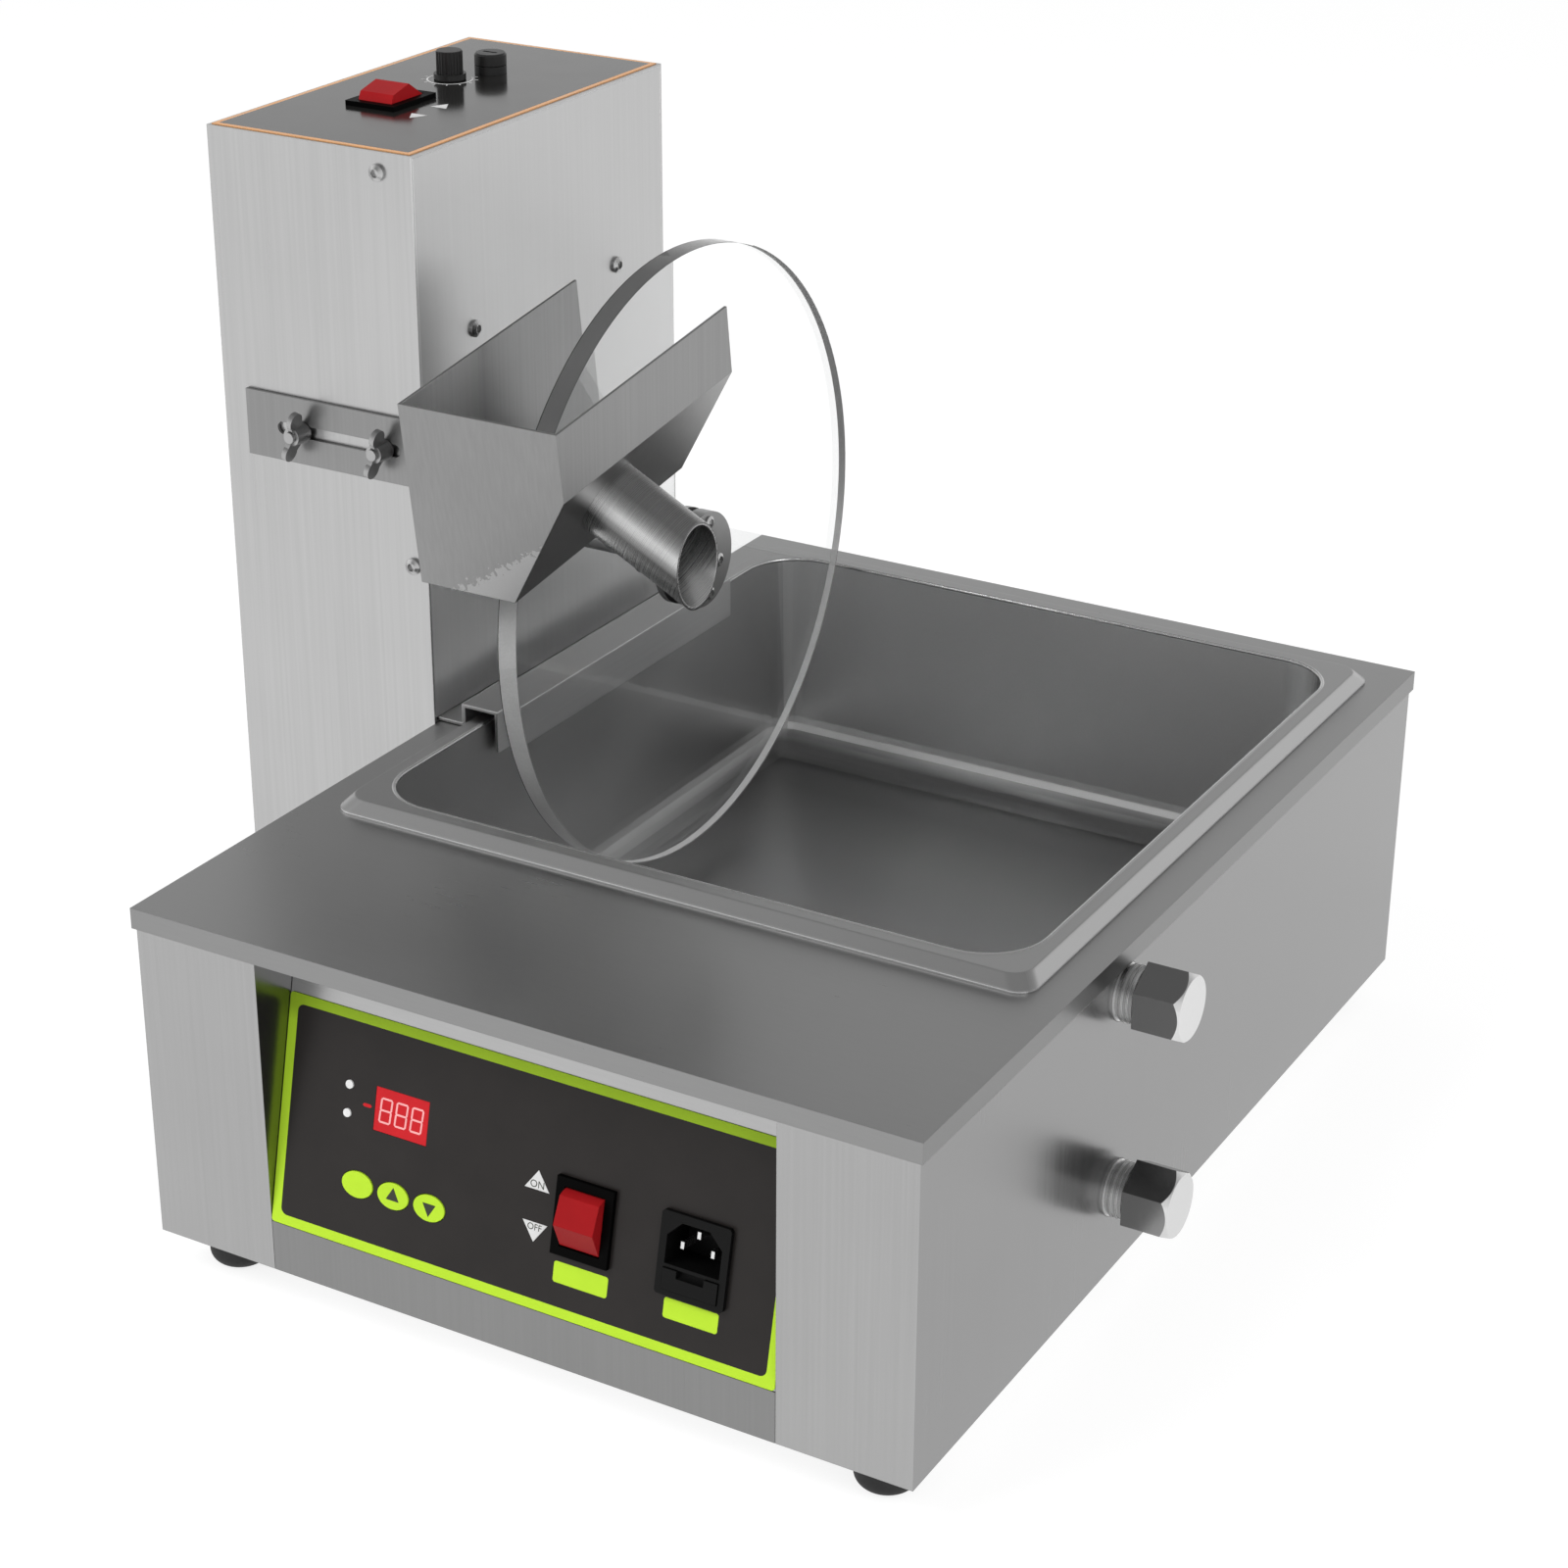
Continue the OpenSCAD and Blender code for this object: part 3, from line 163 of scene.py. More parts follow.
def split(tree, vector):
    node = tree.nodes.new("ShaderNodeSeparateXYZ")
    feed(tree, node.inputs["Vector"], vector)
    return node.outputs["X"], node.outputs["Y"], node.outputs["Z"]


def mixed(tree, first, second, share):
    """Blend of two values, with the share of the first."""
    return calc(tree, "MULTIPLY_ADD", first, share, calc(tree, "MULTIPLY", second, 1 - share))


def remap(tree, value, low, high, start=0.3, end=0.7):
    """`low` where a value is at the start of a range, `high` at its end, and even between them."""
    node = tree.nodes.new("ShaderNodeMapRange")
    feed(tree, node.inputs["Value"], value)
    node.inputs["From Min"].default_value = start
    node.inputs["From Max"].default_value = end
    feed(tree, node.inputs["To Min"], low)
    feed(tree, node.inputs["To Max"], high)
    return node.outputs["Result"]


def remap_mm(tree, value, low, high, start, end):
    """The same over a range of places in millimetres."""
    return remap(tree, value, low, high, start * MM, end * MM)


LEVEL_SOFTNESS = 3.0


def height_step(tree, height, below, above, level):
    """One tone below a level in millimetres and another above it."""
    return remap_mm(tree, height, below, above, level - LEVEL_SOFTNESS, level + LEVEL_SOFTNESS)


def ramp(tree, value, stops):
    node = tree.nodes.new("ShaderNodeValToRGB")
    feed(tree, node.inputs["Fac"], value)
    elements = node.color_ramp.elements
    while len(elements) < len(stops):
        elements.new(0.5)
    for element, (position, colour) in zip(elements, stops):
        element.position = position
        element.color = colour
    return node.outputs["Color"]


def two_tones(tree, value, colour, darker, lighter, start=0.35, end=0.65):
    """Colour that runs from a darker to a lighter tone of itself."""
    return ramp(tree, value, [(start, scaled(colour, darker)), (end, scaled(colour, lighter))])


def bump(tree, height, strength, depth, normal=None):
    """Fine relief with a depth in millimetres."""
    node = tree.nodes.new("ShaderNodeBump")
    node.inputs["Strength"].default_value = strength
    node.inputs["Distance"].default_value = depth * MM
    feed(tree, node.inputs["Height"], height)
    if normal is not None:
        feed(tree, node.inputs["Normal"], normal)
    return node.outputs["Normal"]


BEVEL_SAMPLES = 4


def soft_edges(tree, radius):
    """Direction of the surface with its edges rounded, by a radius in millimetres."""
    node = tree.nodes.new("ShaderNodeBevel")
    node.samples = BEVEL_SAMPLES
    node.inputs["Radius"].default_value = radius * MM
    return node.outputs["Normal"]


# Materials

# Noise per metre along X, Y and Z, small along the grain of brushed sheet
GRAIN_UP = (700.0, 700.0, 7.0)
GRAIN_ACROSS = (60.0, 900.0, 900.0)
GRAIN_BACK = (700.0, 7.0, 700.0)
EVEN = (1500.0, 1500.0, 1500.0)

# Depths of relief, in millimetres
GRAIN_DEPTH, TURNING_DEPTH, SCRATCH_DEPTH = 0.04, 0.05, 0.1

# Parts of a face's direction between which its painted light and shade change, and past which it looks one
# way
FRONT_FROM = (-0.8, -0.95)
RIGHT_FROM = (0.5, 0.7)
UNDER_FROM = (-0.6, -0.3)
BEND_FROM = (0.86, 0.97)
LOOKS_FRONT, LOOKS_RIGHT = -0.8, 0.8
SLOPE_SHARE = 0.5


def facing(tree):
    """Parts of the surface's direction along X, Y and Z."""
    return split(tree, geometry(tree, "Normal"))


def painted_facing_light(tree, front_painted_light, right_painted_light, front_from):
    """Painted light and shade on faces that look to the front and to the right. A slope counts less as a
    front.
    """
    to_right, to_back, to_sky = facing(tree)
    upright = calc(tree, "MULTIPLY_ADD", calc(tree, "ABSOLUTE", to_sky), SLOPE_SHARE, to_back)
    front = remap(tree, upright, 1.0, front_painted_light, *front_from)
    right = remap(tree, to_right, 1.0, right_painted_light, *RIGHT_FROM)
    return calc(tree, "MULTIPLY", front, right)


def painted_light_below(tree, place, low, low_painted_fade):
    """Tone of painted light and shade below a level, which may change from front to back, and a tone of one
    above it.
    """
    _, backward, height = split(tree, place)
    level, tone = low
    if low_painted_fade is not None:
        front_y, back_y, in_front, behind = low_painted_fade
        tone = remap_mm(tree, backward, tone * in_front, tone * behind, front_y, back_y)
    return height_step(tree, height, tone, 1.0, level)


def flatness(tree, rounded):
    """One on flat faces, and less where the rounded direction turns away from the face."""
    return along_axis(tree, rounded, geometry(tree, "True Normal"))


def brushed(tree, place, grain):
    """Streaks along the axis where `grain` is small, and the same streaks with faint clouds."""
    streaks = noise(tree, stretched(tree, place, grain), scale=1.0, detail=4.0)
    clouds = noise(tree, place, scale=14.0, detail=2.0)
    return streaks, mixed(tree, clouds, streaks, share=0.4)


def sheet_steel(name, tone, grain, rough=(0.27, 0.34), spread=0.035, edge=0.4, relief=0.1,
                front_painted_light=1.0, right_painted_light=1.0, front_from=FRONT_FROM, low=(0.0, 1.0), low_painted_fade=None,
                edge_painted_highlight=0.0):
    """Sheet steel with a fine grain along the axis where `grain` is small, and faint clouds.

    `front_painted_light` and `right_painted_light` are painted light and shade on faces that look to the
    front and to the right, `low` gives a height in millimetres and the tone of painted light and shade below
    it,
    `low_painted_fade` two places from front to back and what that tone is multiplied by there, and
    `edge_painted_highlight` is the least tone that bends and edges have, a painted highlight.
    """
    material, tree, shader = new_tree(name)
    place = object_place(tree)
    streaks, uneven = brushed(tree, place, grain)
    colour = two_tones(tree, uneven, grey(tone), 1 - spread, 1 + spread)
    # Painted light and shade by the way each face looks, and below a level
    by_face = painted_facing_light(tree, front_painted_light, right_painted_light, front_from)
    factor = calc(tree, "MULTIPLY", by_face, painted_light_below(tree, place, low, low_painted_fade))
    rounded = soft_edges(tree, edge)
    # Painted highlight on bends and edges, where the rounded direction turns away from the face
    bend = remap(tree, flatness(tree, rounded), edge_painted_highlight, 0.0, *BEND_FROM)
    feed_all(tree, shader, {
        "Base Color": tinted(tree, colour, calc(tree, "MAXIMUM", factor, bend)),
        "Roughness": remap(tree, uneven, *rough),
        "Normal": bump(tree, streaks, relief, GRAIN_DEPTH, rounded),
        "Metallic": 1.0,
    })
    return material


def inside_tube(tree, place, point, axis, radius):
    """One where the surface lies nearer than a radius to a tube's axis, else zero."""
    offset = vector_calc(tree, "SUBTRACT", place, [part * MM for part in point])
    across = vector_calc(tree, "CROSS_PRODUCT", offset, axis)
    return calc(tree, "LESS_THAN", vector_calc(tree, "LENGTH", across, output="Value"), radius * MM)


def painted_highlight_bands(tree, bands):
    """Painted highlight bands by how far the surface looks up, from pairs of an upward part and a tone."""
    upward = remap(tree, facing(tree)[2], low=0.0, high=1.0, start=-1.0, end=1.0)
    return ramp(tree, upward, [((part + 1) / 2, grey(tone)) for part, tone in bands])


def painted_tube_light(tree, place, axis, bore, bands):
    """Painted light inside a tube's bore, and painted highlight bands outside it."""
    point, radius, inner = bore
    within = inside_tube(tree, place, point, axis, radius)
    outer = calc(tree, "MULTIPLY", calc(tree, "SUBTRACT", 1.0, within), painted_highlight_bands(tree, bands))
    return calc(tree, "MULTIPLY_ADD", within, inner, outer)


def turned_steel(name, tone, axis, rough=(0.22, 0.34), spread=0.12, relief=0.3, bore=None, bands=None):
    """Steel with fine turning lines round an axis.

    `bore` gives a point on the axis, a radius and the tone of painted light inside that radius, and
    `bands` the tones of painted highlight bands outside it.
    """
    material, tree, shader = new_tree(name)
    place = object_place(tree)
    rings = noise(tree, along_axis(tree, place, axis), scale=1500.0, line=True)
    clouds = noise(tree, place, scale=60.0, detail=2.0)
    uneven = mixed(tree, clouds, rings, share=0.3)
    colour = two_tones(tree, uneven, grey(tone), 1 - spread, 1 + spread)
    # Painted light in the bore and painted highlight bands outside it
    if bore is not None:
        colour = tinted(tree, colour, painted_tube_light(tree, place, axis, bore, bands))
    feed_all(tree, shader, {
        "Base Color": colour,
        "Roughness": remap(tree, rings, *rough),
        "Normal": bump(tree, rings, relief, TURNING_DEPTH, soft_edges(tree, radius=0.3)),
        "Metallic": 1.0,
    })
    return material


# Ground patch of the trough: a point of its upper line, the way down from that line along X and Z,
# and how ragged it is
PATCH_START = (TROUGH_LOW.x + 18.0, TROUGH_LOW.z + 0.2)
PATCH_DOWN = (0.531, -0.846)
PATCH_RAGGED = 14.0
# Tone of the ground patch, and painted light on faces that look down
PATCH_TONE, UNDER_PAINTED_LIGHT = 1.3, 1.6

# Painted light in the trough's left corner: how far right it reaches, where it starts and fades, its gain
CORNER_RIGHT = TROUGH_LOW.x + 7.7
CORNER_FRONT, CORNER_REAR = TROUGH_LOW.y + 24.2, TROUGH_LOW.y + 58.2
CORNER_GAIN = 2.2


def ground_patch(tree, place):
    """Ragged area under a line that rises to the right, on faces that look to the front."""
    x, _, z = split(tree, place)
    right = calc(tree, "MULTIPLY", calc(tree, "SUBTRACT", x, PATCH_START[0] * MM), PATCH_DOWN[0])
    down = calc(tree, "MULTIPLY", calc(tree, "SUBTRACT", z, PATCH_START[1] * MM), PATCH_DOWN[1])
    uneven = calc(tree, "SUBTRACT", noise(tree, place, scale=420.0, detail=4.0), 0.5)
    ragged = calc(tree, "MULTIPLY", uneven, PATCH_RAGGED * MM)
    depth = calc(tree, "ADD", calc(tree, "ADD", right, down), ragged)
    below = calc(tree, "GREATER_THAN", depth, 0.0)
    return calc(tree, "MULTIPLY", below, calc(tree, "LESS_THAN", facing(tree)[1], LOOKS_FRONT))


def painted_corner_light(tree, place):
    """Painted light that rises towards the front on the inner face of the trough's left wall."""
    x, y, _ = split(tree, place)
    rise = remap_mm(tree, y, CORNER_GAIN, 0.0, CORNER_FRONT, CORNER_REAR)
    inner = calc(tree, "LESS_THAN", x, CORNER_RIGHT * MM)
    to_right = calc(tree, "GREATER_THAN", facing(tree)[0], LOOKS_RIGHT)
    return calc(tree, "MULTIPLY_ADD", calc(tree, "MULTIPLY", inner, to_right), rise, 1.0)


def welded_steel(name, tone):
    """Trough sheet with a ground patch beside the weld at the front's lower right, and painted light on
    faces that look down and in the left corner.
    """
    material, tree, shader = new_tree(name)
    place = object_place(tree)
    streaks, uneven = brushed(tree, place, GRAIN_UP)
    patch = ground_patch(tree, place)
    blend = tree.nodes.new("ShaderNodeMixRGB")
    feed_all(tree, blend, {
        "Fac": patch,
        "Color1": two_tones(tree, uneven, grey(tone), darker=0.95, lighter=1.05),
        "Color2": grey(tone * PATCH_TONE),
    })
    # Painted light on faces that look down and on the inner face of the left wall
    under = remap(tree, facing(tree)[2], UNDER_PAINTED_LIGHT, 1.0, *UNDER_FROM)
    factor = calc(tree, "MULTIPLY", under, painted_corner_light(tree, place))
    feed_all(tree, shader, {
        "Base Color": tinted(tree, blend.outputs["Color"], factor),
        "Roughness": remap(tree, patch, low=0.34, high=0.26, start=0.0, end=1.0),
        "Normal": bump(tree, streaks, strength=0.1, depth=GRAIN_DEPTH, normal=soft_edges(tree, radius=0.4)),
        "Metallic": 1.0,
    })
    return material


def moulded(name, colour, rough=(0.3, 0.42), grain=900.0, depth=0.03, gloss=0.5, spread=0.1, high=None):
    """Moulded plastic, paint or print with a fine grain and slightly uneven colour.

    `high` gives a height in millimetres and the tone of painted shade above it.
    """
    material, tree, shader = new_tree(name)
    place = object_place(tree)
    fine = noise(tree, place, grain, detail=2.0)
    clouds = noise(tree, place, scale=45.0)
    uneven = two_tones(tree, clouds, colour, 1 - spread, 1 + spread, start=0.3, end=0.7)
    if high is not None:
        level, tone = high
        # Painted shade above the level
        uneven = tinted(tree, uneven, height_step(tree, split(tree, place)[2], 1.0, tone, level))
    feed_all(tree, shader, {
        "Base Color": uneven,
        "Roughness": remap(tree, clouds, *rough),
        "Normal": bump(tree, fine, strength=0.2, depth=depth, normal=soft_edges(tree, radius=0.3)),
        "Specular IOR Level": gloss,
    })
    return material


def glowing(name, colour, glow, strength):
    """Lamp or display face that shines a little."""
    material, tree, shader = new_tree(name)
    clouds = noise(tree, object_place(tree), scale=160.0, detail=2.0)
    feed_all(tree, shader, {
        "Base Color": two_tones(tree, clouds, colour, darker=0.9, lighter=1.08, start=0.3, end=0.7),
        "Roughness": remap(tree, clouds, low=0.18, high=0.28),
        "Emission Color": glow,
        "Emission Strength": strength,
        "Specular IOR Level": 0.1,
    })
    return material


def clear_acrylic(name):
    """Clear sheet with polished faces."""
    material, tree, shader = new_tree(name)
    clouds = noise(tree, object_place(tree), scale=20.0, detail=2.0)
    stops = [(0.3, (0.98, 0.985, 0.985, 1.0)), (0.7, (0.99, 0.995, 0.995, 1.0))]
    feed_all(tree, shader, {
        "Base Color": ramp(tree, clouds, stops),
        "Roughness": remap(tree, clouds, low=0.0, high=0.03),
        "Transmission Weight": 1.0,
        "IOR": 1.49,
    })
    return material


def frosted(name, tone, upper, lit_heights, dark_heights, lean, alpha, lit):
    """Sawn rim of a clear sheet with fine scratches, with painted shade high up and a painted glow low down.

    `upper` is the part of the tone left high up under the painted shade. The painted glow fades between the
    two levels of `lit_heights`, and the painted shade runs between those of `dark_heights`, in millimetres.
    `lean` is how much lower the painted shade lies for each step to the back.
    """
    material, tree, shader = new_tree(name)
    scratches = noise(tree, object_place(tree), scale=1200.0)
    colour = two_tones(tree, scratches, grey(tone), darker=0.93, lighter=1.05)
    # Painted shade that lies lower to the back, and a painted glow that fades upward
    _, back, level = split(tree, geometry(tree, "Position"))
    leaning = calc(tree, "MULTIPLY_ADD", back, lean, level)
    feed_all(tree, shader, {
        "Base Color": tinted(tree, colour, remap_mm(tree, leaning, 1.0, upper, *dark_heights)),
        "Emission Color": tinted(tree, colour, remap_mm(tree, level, 1.0, 0.0, *lit_heights)),
        "Emission Strength": lit,
        "Roughness": remap(tree, scratches, low=0.45, high=0.65),
        "Normal": bump(tree, scratches, strength=0.1, depth=SCRATCH_DEPTH),
        "Alpha": alpha,
    })
    return material


def circuit_board(name):
    """Green board with darker tracks."""
    material, tree, shader = new_tree(name)
    place = object_place(tree)
    brick = tree.nodes.new("ShaderNodeTexBrick")
    feed_all(tree, brick, {
        "Vector": place,
        "Scale": 140.0,
        "Color1": (0.02, 0.16, 0.06, 1.0),
        "Color2": (0.03, 0.21, 0.08, 1.0),
        "Mortar": (0.01, 0.09, 0.04, 1.0),
    })
    feed_all(tree, shader, {
        "Base Color": brick.outputs["Color"],
        "Roughness": remap(tree, noise(tree, place, scale=80.0), low=0.35, high=0.5),
    })
    return material


def brass(name):
    """Turned brass."""
    material, tree, shader = new_tree(name)
    clouds = noise(tree, object_place(tree), scale=90.0)
    stops = [(0.3, (0.5, 0.34, 0.12, 1.0)), (0.7, (0.62, 0.44, 0.17, 1.0))]
    feed_all(tree, shader, {
        "Base Color": ramp(tree, clouds, stops),
        "Roughness": remap(tree, clouds, low=0.25, high=0.4),
        "Metallic": 1.0,
    })
    return material


LIME = (0.552, 0.865, 0.042, 1.0)
RED = (0.38, 0.011, 0.014, 1.0)
RIGHT, BACK, UP = (1.0, 0.0, 0.0), (0.0, 1.0, 0.0), (0.0, 0.0, 1.0)
OUT_OF_PANEL = PANEL.col[2].xyz

# Spout: its axis, a point on that axis, the radius of its bore and the tone of painted light in it, and the
# painted highlight bands outside
SPOUT_AXIS = (0.864, 0.07, -0.498)
SPOUT_POINT = TROUGH_LOW + Vector((63.2, 55.3, 35.4))
SPOUT_BORE_LIGHT = (SPOUT_POINT, 15.7, 0.67)
SPOUT_HIGHLIGHTS = [(-0.35, 0.73), (-0.2, 0.37), (-0.08, 0.18), (0.08, 0.34), (0.18, 0.66), (0.3, 0.85),
               (0.48, 0.67), (0.68, 0.3)]

# Pan: the level of its floor's bend, below which shade is painted, and the places between which that painted
# shade darkens to the back
PAN_DEEP = PAN_LOW.z + 8.4
PAN_FADE = (PAN_LOW.y + 189.8, PAN_LOW.y + 294.8)

# Heights where painted light and shade change: painted light low on the tower's side, painted shade on the
# lime border's top, a painted glow and painted shade on the wheel's rim
SIDE_LIT = corners("tower_side_plate")[0].z + 80.5
BORDER_SHADED = corners("panel_border")[1].z - 8.5
RIM_LIT = (WHEEL_AXIS.z - 118.3, WHEEL_AXIS.z - 13.3)
RIM_SHADED = (WHEEL_AXIS.z - 2.3, WHEEL_AXIS.z + 62.7)

LOOKS = {
    # Painted shade on faces that look right
    "cabinet_steel": (sheet_steel, dict(tone=0.385, grain=GRAIN_UP, rough=(0.22, 0.28), right_painted_light=0.7)),
    "sill_steel": (sheet_steel, dict(tone=0.25, grain=GRAIN_UP)),
    "panel_steel": (sheet_steel, dict(tone=0.44, grain=GRAIN_ACROSS)),
    # Painted shade on faces that look to the front and to the right
    "cover_steel": (sheet_steel, dict(tone=0.395, grain=GRAIN_ACROSS, spread=0.02, relief=0.04,
                                      front_painted_light=0.7, right_painted_light=0.55)),
    # Painted light on faces that look to the front and to the right, and painted shade on the floor that
    # darkens to the back
    "pan_steel": (sheet_steel, dict(tone=0.42, grain=EVEN, rough=(0.33, 0.37), spread=0.02, edge=1.2,
                                    relief=0.03, front_painted_light=2.2, right_painted_light=1.35,
                                    front_from=(-0.6, -0.78), low=(PAN_DEEP, 0.45),
                                    low_painted_fade=(*PAN_FADE, 1.7, 0.75))),
    # Lighter than the pan's steel, a painted highlight line along the rolled lip
    "lip_steel": (sheet_steel, dict(tone=0.62, grain=EVEN, rough=(0.2, 0.26), spread=0.03, relief=0.03)),
    "hidden_steel": (sheet_steel, dict(tone=0.46, grain=GRAIN_BACK)),
    # Painted highlight on bends and edges
    "tower_steel": (sheet_steel, dict(tone=0.48, grain=GRAIN_UP, spread=0.05, edge=0.7, edge_painted_highlight=1.9)),
    # Painted light low down and painted highlight on bends and edges
    "side_steel": (sheet_steel, dict(tone=0.54, grain=GRAIN_UP, rough=(0.36, 0.42), spread=0.03, edge=0.7,
                                     low=(SIDE_LIT, 1.75), edge_painted_highlight=1.75)),
    # Painted light on faces that look right, and painted highlight on bends and edges
    "hook_steel": (sheet_steel, dict(tone=0.34, grain=GRAIN_BACK, rough=(0.32, 0.4), edge=0.9,
                                     right_painted_light=2.7, edge_painted_highlight=2.8)),
    # Painted light on faces that look to the front and to the right
    "cap_steel": (sheet_steel, dict(tone=0.2, grain=EVEN, rough=(0.14, 0.2), front_painted_light=1.35,
                                    right_painted_light=3.3)),
    "gearbox_metal": (sheet_steel, dict(tone=0.3, grain=EVEN, rough=(0.4, 0.55))),
    # Painted light on faces that look down and in the left corner
    "trough_steel": (welded_steel, dict(tone=0.28)),
    # Painted highlight bands outside the spout and painted light in its bore
    "spout_steel": (turned_steel, dict(tone=0.82, axis=SPOUT_AXIS, relief=0.15, bore=SPOUT_BORE_LIGHT,
                                       bands=SPOUT_HIGHLIGHTS)),
    "hub_steel": (turned_steel, dict(tone=0.36, axis=RIGHT, rough=(0.34, 0.42), spread=0.06)),
    "screw_steel": (turned_steel, dict(tone=0.5, axis=BACK, spread=0.08)),
    "nut_steel": (turned_steel, dict(tone=0.4, axis=BACK, rough=(0.3, 0.4), spread=0.08)),
    "drain_steel": (turned_steel, dict(tone=0.62, axis=RIGHT, spread=0.08)),
    "pin_steel": (turned_steel, dict(tone=0.75, axis=OUT_OF_PANEL, spread=0.05)),
    "motor_metal": (turned_steel, dict(tone=0.4, axis=UP)),
    "brass_parts": (brass, {}),
    "clear_disc": (clear_acrylic, {}),
    # Painted shade high up and a painted glow low down on the wheel's rim
    "frosted_rim": (frosted, dict(tone=0.44, upper=0.2, lit_heights=RIM_LIT, dark_heights=RIM_SHADED,
                                  lean=0.25, alpha=0.9, lit=0.165)),
    "panel_dark": (moulded, dict(colour=(0.022, 0.019, 0.018, 1.0), rough=(0.3, 0.36), gloss=0.2)),
    # Painted shade on the border's top band
    "lime_print": (moulded, dict(colour=LIME, rough=(0.4, 0.5), gloss=0.12, spread=0.03,
                                 high=(BORDER_SHADED, 0.68))),
    "lime_button": (moulded, dict(colour=LIME, rough=(0.34, 0.42), gloss=0.12, spread=0.04)),
    "white_print": (moulded, dict(colour=grey(0.8), rough=(0.4, 0.5), spread=0.04)),
    "dark_print": (moulded, dict(colour=(0.02, 0.025, 0.012, 1.0), rough=(0.4, 0.5))),
    "rocker_red": (moulded, dict(colour=RED, rough=(0.3, 0.38), gloss=0.08, spread=0.08)),
    "black_plastic": (moulded, dict(colour=grey(0.0015), rough=(0.4, 0.5), gloss=0.03)),
    "inlet_black": (moulded, dict(colour=grey(0.005), rough=(0.4, 0.5), gloss=0.12)),
    "knob_black": (moulded, dict(colour=grey(0.012), rough=(0.36, 0.46))),
    "tower_dark": (moulded, dict(colour=(0.015, 0.0146, 0.014, 1.0), rough=(0.12, 0.16), gloss=0.45,
                                 spread=0.04)),
    "line_orange": (moulded, dict(colour=(0.8, 0.42, 0.19, 1.0), gloss=0.3, spread=0.05)),
    "foot_rubber": (moulded, dict(colour=grey(0.015), rough=(0.6, 0.8), grain=600.0, depth=0.1)),
    "heater_rubber": (moulded, dict(colour=(0.5, 0.12, 0.04, 1.0), rough=(0.6, 0.8), depth=0.1)),
    "display_red": (glowing, dict(colour=(0.37, 0.012, 0.016, 1.0), glow=(1.0, 0.025, 0.035, 1.0),
                                  strength=0.28)),
    "pale_digits": (glowing, dict(colour=(0.75, 0.36, 0.36, 1.0), glow=(1.0, 0.45, 0.45, 1.0),
                                  strength=0.3)),
    "lamp_white": (glowing, dict(colour=grey(0.75), glow=grey(1.0), strength=0.12)),
    "board_green": (circuit_board, {}),
}
MATERIALS = {name: maker(name, **look) for name, (maker, look) in LOOKS.items()}

# Solids that look otherwise than the rest of their material slot
OTHER_STEEL = {
    "front_sill": "sill_steel",
    "scraper_studs": "nut_steel",
    "wing_nut_left": "nut_steel",
    "wing_nut_right": "nut_steel",
}


def dress_solids():
    for row in frame["record"]["subparts"]:
        solid = frame["nodes"][row["node"]]
        if not solid.material_slots:
            solid.data.materials.append(None)
        for slot in solid.material_slots:
            slot.material = MATERIALS[OTHER_STEEL.get(row["node"], row["material_slot"])]
    frame["nodes"]["wheel_disc"].visible_shadow = False


# Pieces, in millimetres

def make_piece(name, mesh, place, material, body):
    piece = bpy.data.objects.new(name, mesh)
    bpy.context.scene.collection.objects.link(piece)
    piece.data.materials.append(MATERIALS[material])
    piece.matrix_world = place
    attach(piece, body)
    return piece


def add_ring(build, points):
    return [build.verts.new([part * MM for part in point]) for point in points]


def join_rings(build, ring, beside, smooth):
    for i in range(len(ring)):
        j = (i + 1) % len(ring)
        build.faces.new((ring[i], ring[j], beside[j], beside[i])).smooth = smooth


def finished(build, name):
    """Mesh of what was built, with its faces looking outward."""
    bmesh.ops.recalc_face_normals(build, faces=build.faces)
    mesh = bpy.data.meshes.new(name)
    build.to_mesh(mesh)
    build.free()
    return mesh


def raised_shapes(name, outlines, low, high):
    """Mesh of flat shapes that stand from one height to another."""
    build = bmesh.new()
    for outline in outlines:
        floor, roof = (add_ring(build, [(u, v, level) for u, v in outline]) for level in (low, high))
        build.faces.new(list(reversed(floor)))
        build.faces.new(roof)
        join_rings(build, floor, roof, smooth=False)
    return finished(build, name)


def bands_between(name, rings, closed=False):
    """Smooth mesh from each ring of points to the next, closed where the last meets the first."""
    build = bmesh.new()
    rows = [add_ring(build, ring) for ring in rings]
    beside = rows[1:] + rows[:1] if closed else rows[1:]
    for row, next_row in zip(rows, beside):
        join_rings(build, row, next_row, smooth=True)
    return finished(build, name)


def print_marks(name, outlines, carrier, material, body, base=FILM):
    """Thin print that lies on a film or a button."""
    make_piece(name, raised_shapes(name, outlines, base, base + PRINT), carrier, material, body)


def triangle(u, v, width, height):
    """Triangle round a point, which points down where its height is negative."""
    half, third = width / 2, height / 3
    return [(u - half, v - third), (u + half, v - third), (u, v + 2 * third)]


def circle(u, v, radius, count, start=0.0):
    turns = [start + 2 * math.pi * i / count for i in range(count)]
    return [(u + radius * math.cos(turn), v + radius * math.sin(turn)) for turn in turns]


def rounded_plate(u, v, width, height, radius, steps=6):
    """Rectangle round a point, with round corners."""
    across, up = width / 2 - radius, height / 2 - radius
    centres = [(u + across, v + up), (u - across, v + up), (u - across, v - up), (u + across, v - up)]
    points = []
    for quarter, (cu, cv) in enumerate(centres):
        for step in range(steps + 1):
            angle = math.pi / 2 * (quarter + step / steps)
            points.append((cu + radius * math.cos(angle), cv + radius * math.sin(angle)))
    return points


